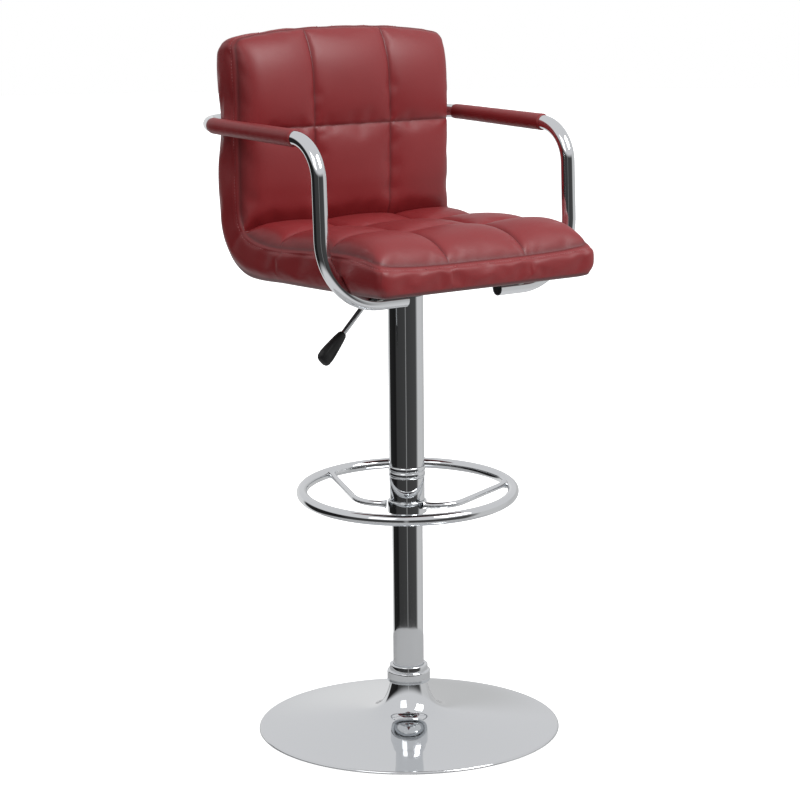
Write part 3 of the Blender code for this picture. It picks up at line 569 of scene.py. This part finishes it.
def sleeve(way):
    """The wrap: radius falls evenly from front to rear, with a rolled end, small creases
    across it and a raised seam along its underside; the bore lies on the tube."""
    side = X_AXIS * way
    rear = armrest_at(way, to_rear) - side * REAR_BEND
    run = np.concatenate([armrest_at(way, np.linspace(WRAP_START, to_rear - 0.003, 60)),
                          arc_points(rear, REAR_BEND, 0.0, 15.0, side, arm_back, 8)])
    count = len(run)
    s = np.linspace(0.0, 1.0, count)[:, None]
    roll = np.sqrt(1.0 - (1.0 - np.clip(np.minimum(s, 1.0 - s) / 0.014, 0.0, 1.0)) ** 2)
    sides = 48
    a = np.linspace(0.0, 2.0 * math.pi, sides, endpoint=False)[None, :]
    from_below = np.mod(a - 1.5 * math.pi * way + math.pi, 2.0 * math.pi) - math.pi
    crease = (np.sin(61.0 * s + 2.0 * np.sin(a + way)) * np.sin(23.0 * s + 3.0 * np.cos(a))
              * (0.4 + 0.6 * np.cos(a + 0.8) ** 2))
    under = np.exp(-(from_below / 0.13) ** 2)
    swell = WRAP_FRONT - ARM_TUBE - WRAP_TAPER * s + 0.00016 * crease + 0.0004 * under
    middle = carried(run, 1.0, sides) - run[:, None]
    outer = run[:, None] + middle * (ARM_TUBE + 0.0002 + swell * roll)[..., None]
    inner = run[:, None] + middle * (ARM_TUBE + 0.0001)
    skins = np.concatenate([outer, inner[::-1]])
    return skins, grid_faces(len(skins), sides, True, True)


for word, way in (("left", -1.0), ("right", 1.0)):
    make_piece(f"arm_loop_{word}", *hollow(arm_run(way), ARM_TUBE, ARM_TUBE - ARM_WALL),
               CHROME, "seat", "chrome", [f"arm_tube_{word}"])
    make_piece(f"arm_wrap_{word}", *sleeve(way), LEATHERETTE, "seat", "leatherette",
               [f"arm_sleeve_{word}"], 70.0)
joint_low, joint_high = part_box("arm_joiner")
joint_z = (joint_low.z + joint_high.z) / 2
joint, joint_faces = turned(tube_profile(0.0122, 0.0014, joint_low.x, joint_high.x, 0.0006), 64)
joint = joint[..., [2, 0, 1]] + (0.0, rear_y, joint_z)
make_piece("arm_joint_sleeve", joint, joint_faces, CHROME, "seat", "chrome", ["arm_joiner"])
refinish(CHROME, "joiner_plate")
refinish(STEEL, "joiner_screw_1", "joiner_screw_2")
refinish(PLASTIC, "arm_end_plug_left", "arm_end_plug_right")

# ---- Upholstery ------------------------------------------------------------------------------
# Foam on a bent plywood shell in a sewn leatherette cover: a quilted face of three columns,
# with three rows on the seat and two on the back, a side band all round, and a plain panel
# behind and below. The cover is pinned along its seams and blown up by cloth simulation.


def bent_plywood():
    """Beech plywood: pale, with long streaks of grain a few millimetres wide."""
    look, shader = new_look("bent_plywood", Roughness=0.6)
    place = add(look, "ShaderNodeTexCoord").outputs["Object"]
    along = add(look, "ShaderNodeMapping", {"Vector": place, "Scale": (300.0, 12.0, 12.0)})
    streak = add(look, "ShaderNodeTexNoise", {"Vector": along.outputs[0], "Scale": 1.0,
                                              "Detail": 4.0})
    mix = add(look, "ShaderNodeMix", {0: streak.outputs["Fac"], 6: linear("#B98F5E"),
                                      7: linear("#D9B98A")}, data_type="RGBA")
    look.node_tree.links.new(mix.outputs[2], shader.inputs["Base Color"])
    return look


refinish(bent_plywood(), "seat_board")

COLUMNS = 60                      # grid cells across, 20 to each of the 3 columns
ROW_SEAMS = np.array([0, 17, 37, 51, 73, 95])
LAYERS = np.array([0.0, 0.02, 0.05, 0.09, 0.13, 0.17, 0.23, 0.32, 0.43, 0.54, 0.65, 0.76,
                   0.86, 0.94, 1.0])
ROWS, DEPTHS = int(ROW_SEAMS[-1]), len(LAYERS) - 1
SEAM_HALF = 0.1915                # half the width between the two long edge seams
QUILT_SEAM = 0.0700               # the two long quilting seams, either side of the middle
CORNER = 0.0140                   # rounding of the four corners
BAND_OUT, BAND_TUCK = 0.0070, 0.0075    # the side band swells out, then tucks in to the rear
FRONT_OUT, FRONT_TUCK = 0.0110, 0.0030  # the same along the seat's front edge
TOP_OUT, TOP_ARCH = 0.0055, 0.0150      # and along the top, which also arches in the middle
CROWN_SEAT, CROWN_BACK = 0.0165, 0.0200 # how far the whole face stands above its edge seam
PUFF_SEAT, PUFF_BACK = 0.0120, 0.0070   # how far each quilted panel stands above its seams
SEAT_SAG = 0.0075                       # dip of the front edge between its two corners
PIPING = 0.0010                         # how far the turned seam edge stands out of the band
CREASE, JOINT_CREASE = 0.0013, 0.0060   # depth of a quilting seam, and of the seat's rear seam

# Row (in panels from the front), then y and z of the face's edge seam, and of the rear edge.
STATIONS = np.array([
    (0.00, -0.1850, 0.7310, -0.1860, 0.6890), (0.35, -0.1500, 0.7375, -0.1500, 0.6885),
    (1.00, -0.0800, 0.7400, -0.0820, 0.6880), (1.50, -0.0220, 0.7370, -0.0220, 0.6878),
    (2.00, 0.0440, 0.7345, 0.0480, 0.6880), (2.50, 0.0850, 0.7370, 0.1000, 0.6885),
    (2.80, 0.1130, 0.7430, 0.1400, 0.6960), (3.00, 0.1310, 0.7540, 0.1660, 0.7130),
    (3.12, 0.1380, 0.7690, 0.1830, 0.7350), (3.40, 0.1400, 0.8100, 0.1940, 0.7900),
    (4.00, 0.1400, 0.8970, 0.1945, 0.8960), (4.40, 0.1400, 0.9500, 0.1945, 0.9480),
    (4.75, 0.1420, 0.9960, 0.1935, 0.9880), (5.00, 0.1480, 1.0245, 0.1905, 1.0120)])


# Row, and how far the rear panel stands over its edge seam to cover the plywood's bend.
SHELL_OVER = np.array([(2.30, 0.0062), (2.75, 0.0112), (3.00, 0.0104), (3.15, 0.0092),
                       (3.50, 0.0032)])


def through(at, known, values):
    """A smooth line through known values: between two of them, the cubic whose end slopes are
    those of the values' own gradient."""
    slope = np.gradient(values, known, axis=0)
    k = np.clip(np.searchsorted(known, at, side="right") - 1, 0, len(known) - 2)
    gap = (known[k + 1] - known[k])[..., None]
    u = (at[..., None] - known[k][..., None]) / gap
    return ((1 + 2 * u) * (1 - u) ** 2 * values[k] + u * (1 - u) ** 2 * gap * slope[k]
            + u * u * (3 - 2 * u) * values[k + 1] + u * u * (u - 1) * gap * slope[k + 1])


def grid_box(columns, rows, layers):
    """The skin of a block of cells: the indices of its outer points, the number of each point
    and the four-sided faces between them."""
    shape = (columns + 1, rows + 1, layers + 1)
    i, j, k = np.indices(shape)
    skin = (i % columns == 0) | (j % rows == 0) | (k % layers == 0)
    number = np.full(shape, -1)
    number[skin] = np.arange(skin.sum())
    faces = []
    for axis in range(3):
        ends = np.moveaxis(number, axis, 0)
        for end in (0, -1):
            sheet = ends[end]
            quads = np.stack([sheet[:-1, :-1], sheet[1:, :-1], sheet[1:, 1:], sheet[:-1, 1:]],
                             -1).reshape(-1, 4)
            faces.append(quads if (end == -1) != (axis == 1) else quads[:, ::-1])
    return i[skin], j[skin], k[skin], number, np.concatenate(faces)


def in_panels(index, seams):
    """Grid index to panels, with the grid lines drawn together towards each seam."""
    panel = np.interp(index, seams, np.arange(len(seams)))
    whole = np.minimum(np.floor(panel), len(seams) - 2)
    u = panel - whole
    return whole, 0.2 * u + 0.8 * (0.5 - 0.5 * np.cos(math.pi * u))


def swelling(distance, reach):
    """A quarter of an ellipse: nothing at a seam, steep beside it and level at reach."""
    return np.sqrt(1.0 - (1.0 - np.clip(distance / reach, 0.0, 1.0)) ** 2)


def cover_shape():
    """Every point is (1 - c) x face line + c x rear line at its row, moved out sideways by the
    band's bulge, and on the face by crown + puff - crease along the line from rear to face."""
    i, j, k, number, faces = grid_box(COLUMNS, ROWS, DEPTHS)
    column, u = in_panels(i, np.arange(0, COLUMNS + 1, 20))
    row, v = in_panels(j, ROW_SEAMS)
    c = LAYERS[k]
    share = QUILT_SEAM / SEAM_HALF
    across = np.interp(column + u, [0, 1, 2, 3], [-1.0, -share, share, 1.0])

    # the band: it swells out below the edge seam and tucks in to the rear panel
    out = 1.0 - (1.0 - np.minimum(c / 0.30, 1.0)) ** 2
    tuck = np.maximum((c - 0.60) / 0.40, 0.0) ** 2.4
    ridge = np.exp(-((c - 0.055) / 0.038) ** 4) - 0.8 * np.exp(-((c - 0.125) / 0.022) ** 2)
    half = SEAM_HALF + BAND_OUT * out - BAND_TUCK * tuck + PIPING * ridge
    front = FRONT_OUT * out - FRONT_TUCK * tuck + PIPING * ridge
    top = (TOP_OUT * np.sin(math.pi * c) + 0.8 * PIPING * ridge
           + TOP_ARCH * (1.0 - np.abs(across) ** 2.6))

    table = np.linspace(0.0, 5.0, 2001)
    line = through(table, STATIONS[:, 0], STATIONS[:, 1:])
    run = np.cumsum(np.linalg.norm(np.diff(line[:, :2], axis=0, prepend=line[:1, :2]), axis=1))
    length = run[-1]
    s = np.interp(row + v, table, run)
    s += top * np.clip(row + v - 4.0, 0.0, 1.0) - front * np.clip(1.0 - row - v, 0.0, 1.0)

    # the four corners: a square corner of the sheet is drawn in to a quarter circle
    x = across * half
    dx = np.clip((np.abs(x) - (half - CORNER)) / CORNER, 0.0, 1.0)
    near_front = np.clip((CORNER - (s + front)) / CORNER, 0.0, 1.0)
    near_top = np.clip((CORNER - (length + top - s)) / CORNER, 0.0, 1.0)
    ds = near_front + near_top
    both = (dx > 0) & (ds > 0)
    pull = np.where(both, np.maximum(dx, ds) / np.maximum(np.hypot(dx, ds), 1e-9), 1.0)
    x = np.where(both, np.sign(x) * (half - CORNER + CORNER * dx * pull), x)
    s = np.where(both & (near_front > 0), CORNER - front - CORNER * ds * pull, s)
    s = np.where(both & (near_top > 0), length + top - CORNER + CORNER * ds * pull, s)

    at = np.interp(s, run, table)
    y_face, z_face, y_rear, z_rear = through(at, STATIONS[:, 0], STATIONS[:, 1:]).T
    y = (1 - c) * y_face + c * y_rear + np.minimum(s, 0.0) + 0.10 * np.maximum(s - length, 0.0)
    z = (1 - c) * z_face + c * z_rear + 0.99 * np.maximum(s - length, 0.0)
    lean = np.stack([y_face - y_rear, z_face - z_rear], -1)
    lean /= np.linalg.norm(lean, axis=1)[:, None]
    sag = SEAT_SAG * (1.0 - np.abs(across) ** 4) * np.exp(-(s / 0.05) ** 2) * (1.0 - c)

    # the face: one crown for the seat and one for the back, and a puff on every panel
    joint = np.interp(3.0, table, run)
    on_back = s > joint
    to_side = half - np.abs(x)
    to_end = np.where(on_back, length + top - s, s + front)
    crown = np.where(on_back, CROWN_BACK, CROWN_SEAT) * swelling(to_side, 0.030)
    crown *= swelling(to_end, np.where(on_back, 0.125, 0.040))
    crown *= swelling(np.abs(s - joint), 0.025)
    puff = np.where(on_back, PUFF_BACK, PUFF_SEAT) * (16 * u * (1 - u) * v * (1 - v)) ** 0.62
    wide = np.where(column == 1, 2 * QUILT_SEAM, SEAM_HALF - QUILT_SEAM)
    long = np.interp(row + 1, table, run) - np.interp(row, table, run)
    beside, ahead = np.minimum(u, 1 - u) * wide, np.minimum(v, 1 - v) * long
    to_seam = np.minimum(beside, ahead)
    crease = CREASE * np.exp(-(to_seam / 0.0022) ** 2)
    crease += JOINT_CREASE * np.exp(-((s - joint) / 0.0070) ** 2)
    pucker = (np.sin(620.0 * x + 4.0 * np.sin(90.0 * s)) * np.exp(-ahead / 0.011)
              + np.sin(570.0 * s + 4.0 * np.sin(80.0 * x)) * np.exp(-beside / 0.011))
    face = (k == 0) & (to_side > 1e-6)
    pucker *= 0.00022 * swelling(to_side, 0.010)
    rise = np.where(face, crown + puff - crease + pucker, 0.0)

    # the rear panel lies flat on the shell, a little proud of its edge seam
    rear = k == DEPTHS
    flat = swelling(to_side, 0.020) * swelling(np.minimum(s + front, length + top - s), 0.020)
    over = np.interp(row + v, *SHELL_OVER.T)
    rise = np.where(rear, -over * flat, rise)
    points = np.stack([x, y + lean[:, 0] * rise, z + lean[:, 1] * rise - sag], -1)

    # the rear corners are drawn in where the arms pass round them
    waist = np.exp(-((points[:, 2] - 0.905) / 0.045) ** 2) * swelling(np.maximum(c - 0.55, 0), 0.45)
    waist *= np.clip((np.abs(x) - 0.150) / 0.040, 0.0, 1.0)
    points[:, 0] -= np.sign(x) * 0.0030 * waist
    points[:, 1] -= 0.0045 * waist

    # a short seam down the band at the bend, and a slow waviness along it
    band = (k > 0) & (k < DEPTHS)
    notch = band * np.exp(-((row + v - 3.0) / 0.035) ** 2) * np.exp(-(c / 0.5) ** 4)
    wave = band * np.sin(math.pi * c) * (np.sin(75.0 * s + 2.0 * np.sign(x)) + np.sin(41.0 * x + 1))
    points[:, 0] += np.sign(x) * (np.abs(across) > 0.999) * (0.0004 * wave - 0.0012 * notch)

    # mask for the painted shade in the seams: one on a seam, fading beside it
    depth = np.where(k == 0, to_seam, np.minimum(c, 1.0 - c) * 0.050)
    seam_shade = np.exp(-(depth / 0.0016) ** 2)
    pinned = np.where(k == 0, to_seam < 1e-6, (k <= 3) | (k >= DEPTHS - 1))
    return points, faces, number, seam_shade, pinned


ARM_CLEAR = ARM_TUBE + 0.0009     # nearest that the cover comes to an arm tube's centre line


def make_room(points):
    """Where an arm tube presses on the cover, points nearer than ARM_CLEAR to its centre line
    are pushed straight away from it. The shell's plates hold the underside and the rear."""
    points = points.copy()
    for way in (-1.0, 1.0):
        run = arm_run(way)
        length = np.linalg.norm(np.diff(run, axis=0, prepend=run[:1]), axis=1).cumsum()
        even = np.linspace(0.0, length[-1], 520)
        run = np.stack([np.interp(even, length, run[:, k]) for k in range(3)], -1)
        near = np.flatnonzero(points[:, 0] * way > 0.10)
        gap = points[near, None] - run[None]
        away = np.linalg.norm(gap, axis=2)
        closest = away.argmin(axis=1)
        pick = np.arange(len(near))
        away = away[pick, closest]
        hit = away < ARM_CLEAR
        gap = gap[pick, closest][hit]
        points[near[hit]] = run[closest[hit]] + gap * (ARM_CLEAR / away[hit])[:, None]
    points[:, 1] = np.minimum(points[:, 1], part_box("shell_cover")[1].y)
    points[:, 2] = np.maximum(points[:, 2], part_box("shell_cover")[0].z + 0.0001)
    return points


BLOW_FRAMES = 20
BLOW_CAP = 0.0024                 # furthest that the blown cover may leave its sewn shape


def blow_up(cover, pinned):
    """Cloth simulation with the seams pinned: air pressure and 0.8% spare cloth."""
    group = cover.vertex_groups.new(name="sewn")
    group.add(np.flatnonzero(pinned).tolist(), 1.0, "REPLACE")
    blown = cover.modifiers.new("blown", "CLOTH")
    blown.settings.vertex_group_mass = "sewn"
    blown.settings.quality = 6
    blown.settings.mass = 0.4
    blown.settings.tension_stiffness = 18.0
    blown.settings.compression_stiffness = 18.0
    blown.settings.shear_stiffness = 8.0
    blown.settings.bending_stiffness = 6.0
    blown.settings.shrink_min = -0.008
    blown.settings.use_pressure = True
    blown.settings.uniform_pressure_force = 2.0
    blown.settings.effector_weights.gravity = 0.0
    blown.point_cache.frame_end = BLOW_FRAMES
    scene = bpy.context.scene
    for step in range(1, BLOW_FRAMES + 1):
        scene.frame_set(step)
    result = cover.evaluated_get(bpy.context.evaluated_depsgraph_get()).to_mesh()
    points = np.empty(len(result.vertices) * 3, np.float32)
    result.vertices.foreach_get("co", points)
    cover.modifiers.remove(blown)
    cover.vertex_groups.remove(group)
    scene.frame_set(1)
    return points.reshape(-1, 3).astype(float)


def sewn_cover():
    """The cover as one closed mesh, its sewn shape blown up and then kept clear of the arms."""
    sewn, faces, number, seam_shade, pinned = cover_shape()
    sewn = make_room(sewn)
    a, b, c, d = (sewn[faces[:, n]] for n in range(4))
    if (np.cross(a, b) * c + np.cross(a, c) * d).sum() < 0.0:
        faces = faces[:, ::-1]
    mesh = bpy.data.meshes.new("seat_cover")
    mesh.from_pydata(sewn.tolist(), [], faces.tolist())
    # the seam mask, kept on the cover for the leatherette's painted seam shade
    mesh.attributes.new("seam_shade", "FLOAT", "POINT").data.foreach_set("value", seam_shade)
    mesh.materials.append(LEATHERETTE)
    mesh.shade_smooth()
    cover = bpy.data.objects.new("seat_cover", mesh)
    bpy.context.scene.collection.objects.link(cover)
    shape = sewn
    move = blow_up(cover, pinned) - sewn
    size = np.linalg.norm(move, axis=1)[:, None]
    move *= BLOW_CAP * np.tanh(size / BLOW_CAP) / np.maximum(size, 1e-9)
    shape = make_room(sewn + move)
    mesh.vertices.foreach_set("co", shape.astype(np.float32).ravel())
    mesh.update()
    finer = cover.modifiers.new("finer", "SUBSURF")
    finer.levels = finer.render_levels = 1
    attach(cover, "seat")
    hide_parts("seat_pad", "back_pad", "bend_foam", "shell_cover")
    return shape, number


cover_points, cover_number = sewn_cover()


def sewing_thread():
    """Bonded polyester thread, a shade lighter than the cover, with a soft sheen."""
    look, shader = new_look("sewing_thread", Roughness=0.55, Sheen_Weight=0.3)
    place = add(look, "ShaderNodeTexCoord").outputs["Object"]
    ply = add(look, "ShaderNodeTexNoise", {"Vector": place, "Scale": 1500.0, "Detail": 2.0})
    mix = add(look, "ShaderNodeMix", {0: ply.outputs["Fac"], 6: linear("#8C3A3C"),
                                      7: linear("#B06466")}, data_type="RGBA")
    look.node_tree.links.new(mix.outputs[2], shader.inputs["Base Color"])
    return look


STITCH_LAYER = 4                  # the layer of the band that the stitches follow
STITCH_PITCH, STITCH_LONG, STITCH_THICK = 0.0046, 0.0032, 0.00042


def round_band(layer):
    """The band's points at one depth, once round the cover and back to the first."""
    sheet = cover_number[:, :, layer]
    loop = np.concatenate([sheet[:, 0], sheet[-1, 1:], sheet[-2::-1, -1], sheet[0, -2::-1]])
    return cover_points[loop]


def topstitching():
    """A row of stitches round the band, 6 mm below the edge seam: each is a short bar with
    round ends, radius x sqrt(1 - t^8), sunk a little into the cover at both ends."""
    line, above = round_band(STITCH_LAYER), round_band(STITCH_LAYER - 1)
    length = np.linalg.norm(np.diff(line, axis=0, prepend=line[:1]), axis=1).cumsum()
    count = int(length[-1] / STITCH_PITCH)
    middle = np.arange(count) * length[-1] / count
    at = middle[:, None] + np.linspace(-0.5, 0.5, 7)[None] * STITCH_LONG
    at = np.mod(at, length[-1])
    spine = np.stack([np.interp(at, length, line[:, k]) for k in range(3)], -1)
    higher = np.stack([np.interp(at, length, above[:, k]) for k in range(3)], -1)
    ahead = spine[:, -1] - spine[:, 0]
    ahead /= np.linalg.norm(ahead, axis=1)[:, None]
    rise = higher[:, 3] - spine[:, 3]
    rise /= np.linalg.norm(rise, axis=1)[:, None]
    out = np.cross(rise, ahead)
    centre = np.array([0.0, 0.0, 0.86])
    flip = np.sign(((spine[:, 3] - centre) * out).sum(axis=1))
    out *= flip[:, None]
    t = np.linspace(-1.0, 1.0, 7)
    fat = STITCH_THICK * np.sqrt(np.maximum(1.0 - t ** 8, 0.0))
    lift = 0.0002 - 0.0007 * t ** 2
    a = np.linspace(0.0, 2.0 * math.pi, 6, endpoint=False)
    up, aside = lift[:, None] + fat[:, None] * np.sin(a), fat[:, None] * np.cos(a)
    rings = (spine[:, :, None] + out[:, None, None] * up[..., None]
             + rise[:, None, None] * aside[..., None])
    one = grid_faces(7, 6, False, True)
    faces = (one[None] + (np.arange(count) * 42)[:, None, None]).reshape(-1, 4)
    return rings, faces


make_piece("band_topstitch", *topstitching(), sewing_thread(), "seat", "leatherette")

# ---- Studio ----------------------------------------------------------------------------------
# A pale floor without a visible edge, large soft lights, and a room whose bright and dark
# sides the chrome mirrors. The room is seen by reflections only.


def pale_floor(name, radius, level, colour, glow):
    """A matt disc, at the level that the base stands on."""
    a = np.linspace(0.0, 2.0 * math.pi, 96, endpoint=False)
    rim = np.stack([radius * np.cos(a), radius * np.sin(a), np.full(96, level)], -1)
    mesh = bpy.data.meshes.new(name)
    mesh.from_pydata(rim.tolist(), [], [tuple(range(96))])
    look, shader = new_look("floor_paint", Base_Color=linear(colour), Roughness=0.9,
                            Specular_IOR_Level=0.1, Emission_Color=(1.0, 1.0, 1.0, 1.0),
                            Emission_Strength=glow)
    mesh.materials.append(look)
    floor = bpy.data.objects.new(name, mesh)
    bpy.context.scene.collection.objects.link(floor)
    floor.visible_diffuse = False
    floor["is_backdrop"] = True
    return floor


HEADING = math.radians(-38.3141)  # way the camera looks, from +Y
DOWN = math.radians(10.516)
ROLL = math.radians(-0.5406)


def studio_room():
    """Light by direction: a ceiling, and round the walls a dim front, a dark left, a bright
    panel to the right and an even backdrop. Straight to the camera it is plain white."""
    world = bpy.data.worlds.new("studio")
    bpy.context.scene.world = world
    world.use_nodes = True
    tree = world.node_tree
    way = add(world, "ShaderNodeTexCoord").outputs["Generated"]
    to_camera = (math.sin(HEADING), -math.cos(HEADING), 0.0)
    to_right = (math.cos(HEADING), math.sin(HEADING), 0.0)
    near = add(world, "ShaderNodeVectorMath", {0: way, 1: to_camera}, operation="DOT_PRODUCT")
    right = add(world, "ShaderNodeVectorMath", {0: way, 1: to_right}, operation="DOT_PRODUCT")
    turn = add(world, "ShaderNodeMath", {0: right.outputs["Value"], 1: near.outputs["Value"]},
               operation="ARCTAN2")
    round_wall = add(world, "ShaderNodeMapRange", {"Value": turn.outputs[0],
                                                   "From Min": -math.pi, "From Max": math.pi})
    wall = add(world, "ShaderNodeValToRGB", {"Fac": round_wall.outputs["Result"]})
    stops = ((0.0, 0.80), (0.130, 0.80), (0.150, 0.02), (0.30, 0.012), (0.32, 0.045),
             (0.487, 0.055), (0.492, 0.30), (0.499, 0.30), (0.504, 0.055), (0.680, 0.07),
             (0.700, 0.30), (0.720, 0.66), (0.83, 0.66), (0.85, 0.60), (1.0, 0.60))
    ramp = wall.color_ramp
    while len(ramp.elements) < len(stops):
        ramp.elements.new(0.5)
    for element, (place, light) in zip(ramp.elements, stops):
        element.position = place
        element.color = (light, light, light, 1.0)
    height = add(world, "ShaderNodeSeparateXYZ", {0: way})
    above = add(world, "ShaderNodeMapRange", {"Value": height.outputs["Z"], "From Min": 0.12,
                                              "From Max": 0.30}, interpolation_type="SMOOTHSTEP")
    below = add(world, "ShaderNodeMapRange", {"Value": height.outputs["Z"], "From Min": -0.48,
                                              "From Max": -0.72}, interpolation_type="SMOOTHSTEP")
    ends = add(world, "ShaderNodeMath", {0: above.outputs["Result"], 1: below.outputs["Result"]},
               operation="ADD", use_clamp=True)
    room = add(world, "ShaderNodeMix", {0: ends.outputs[0], 6: wall.outputs["Color"],
                                        7: (0.74, 0.74, 0.75, 1.0)}, data_type="RGBA")
    seen = add(world, "ShaderNodeLightPath")
    shown = add(world, "ShaderNodeMix", {0: seen.outputs["Is Camera Ray"], 6: room.outputs[2],
                                         7: (1.0, 1.0, 1.0, 1.0)}, data_type="RGBA")
    background = tree.nodes["Background"]
    tree.links.new(shown.outputs[2], background.inputs["Color"])
    background.inputs["Strength"].default_value = 1.0


def soft_light(name, place, target, size, power):
    """A square area light that faces a point."""
    data = bpy.data.lights.new(name, "AREA")
    data.shape = "SQUARE"
    data.size = size
    data.energy = power
    light = bpy.data.objects.new(name, data)
    light.location = place
    back = (np.asarray(place) - target) / np.linalg.norm(np.asarray(place) - target)
    side = np.cross(Z_AXIS, back)
    side /= np.linalg.norm(side)
    turn = np.stack([side, np.cross(back, side), back], -1)
    light.matrix_world = Matrix.Translation(place) @ Matrix(turn.tolist()).to_4x4()
    bpy.context.scene.collection.objects.link(light)
    return light


# The wide floor is seen by the camera only; the chrome mirrors a small grey one round the base.
pale_floor("floor", 18.0, -0.0002, "#F4F4F4", 0.85).visible_glossy = False
pale_floor("floor_round_base", 0.48, -0.0001, "#B4B4B4", 0.0).visible_camera = False
studio_room()
soft_light("key_light", (0.9, -2.6, 3.2), (0.0, 0.0, 0.8), 1.8, 86.0)
soft_light("fill_light", (-2.8, -1.2, 2.6), (0.0, 0.0, 0.8), 1.6, 13.0)
soft_light("rear_light", (1.2, 3.0, 1.8), (0.0, 0.0, 0.8), 1.8, 30.0).visible_glossy = False

camera = bpy.data.objects.new("camera", bpy.data.cameras.new("camera"))
camera.data.lens = 105.735
camera.data.sensor_width = 36.0
camera.data.clip_start, camera.data.clip_end = 0.1, 60.0
camera.matrix_world = (Matrix.Translation((-2.11512, -2.66201, 1.12970))
                       @ Matrix.Rotation(HEADING, 4, "Z")
                       @ Matrix.Rotation(0.5 * math.pi - DOWN, 4, "X")
                       @ Matrix.Rotation(ROLL, 4, "Z"))
bpy.context.scene.collection.objects.link(camera)
bpy.context.scene.camera = camera
bpy.context.scene.view_settings.view_transform = "Standard"

low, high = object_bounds()
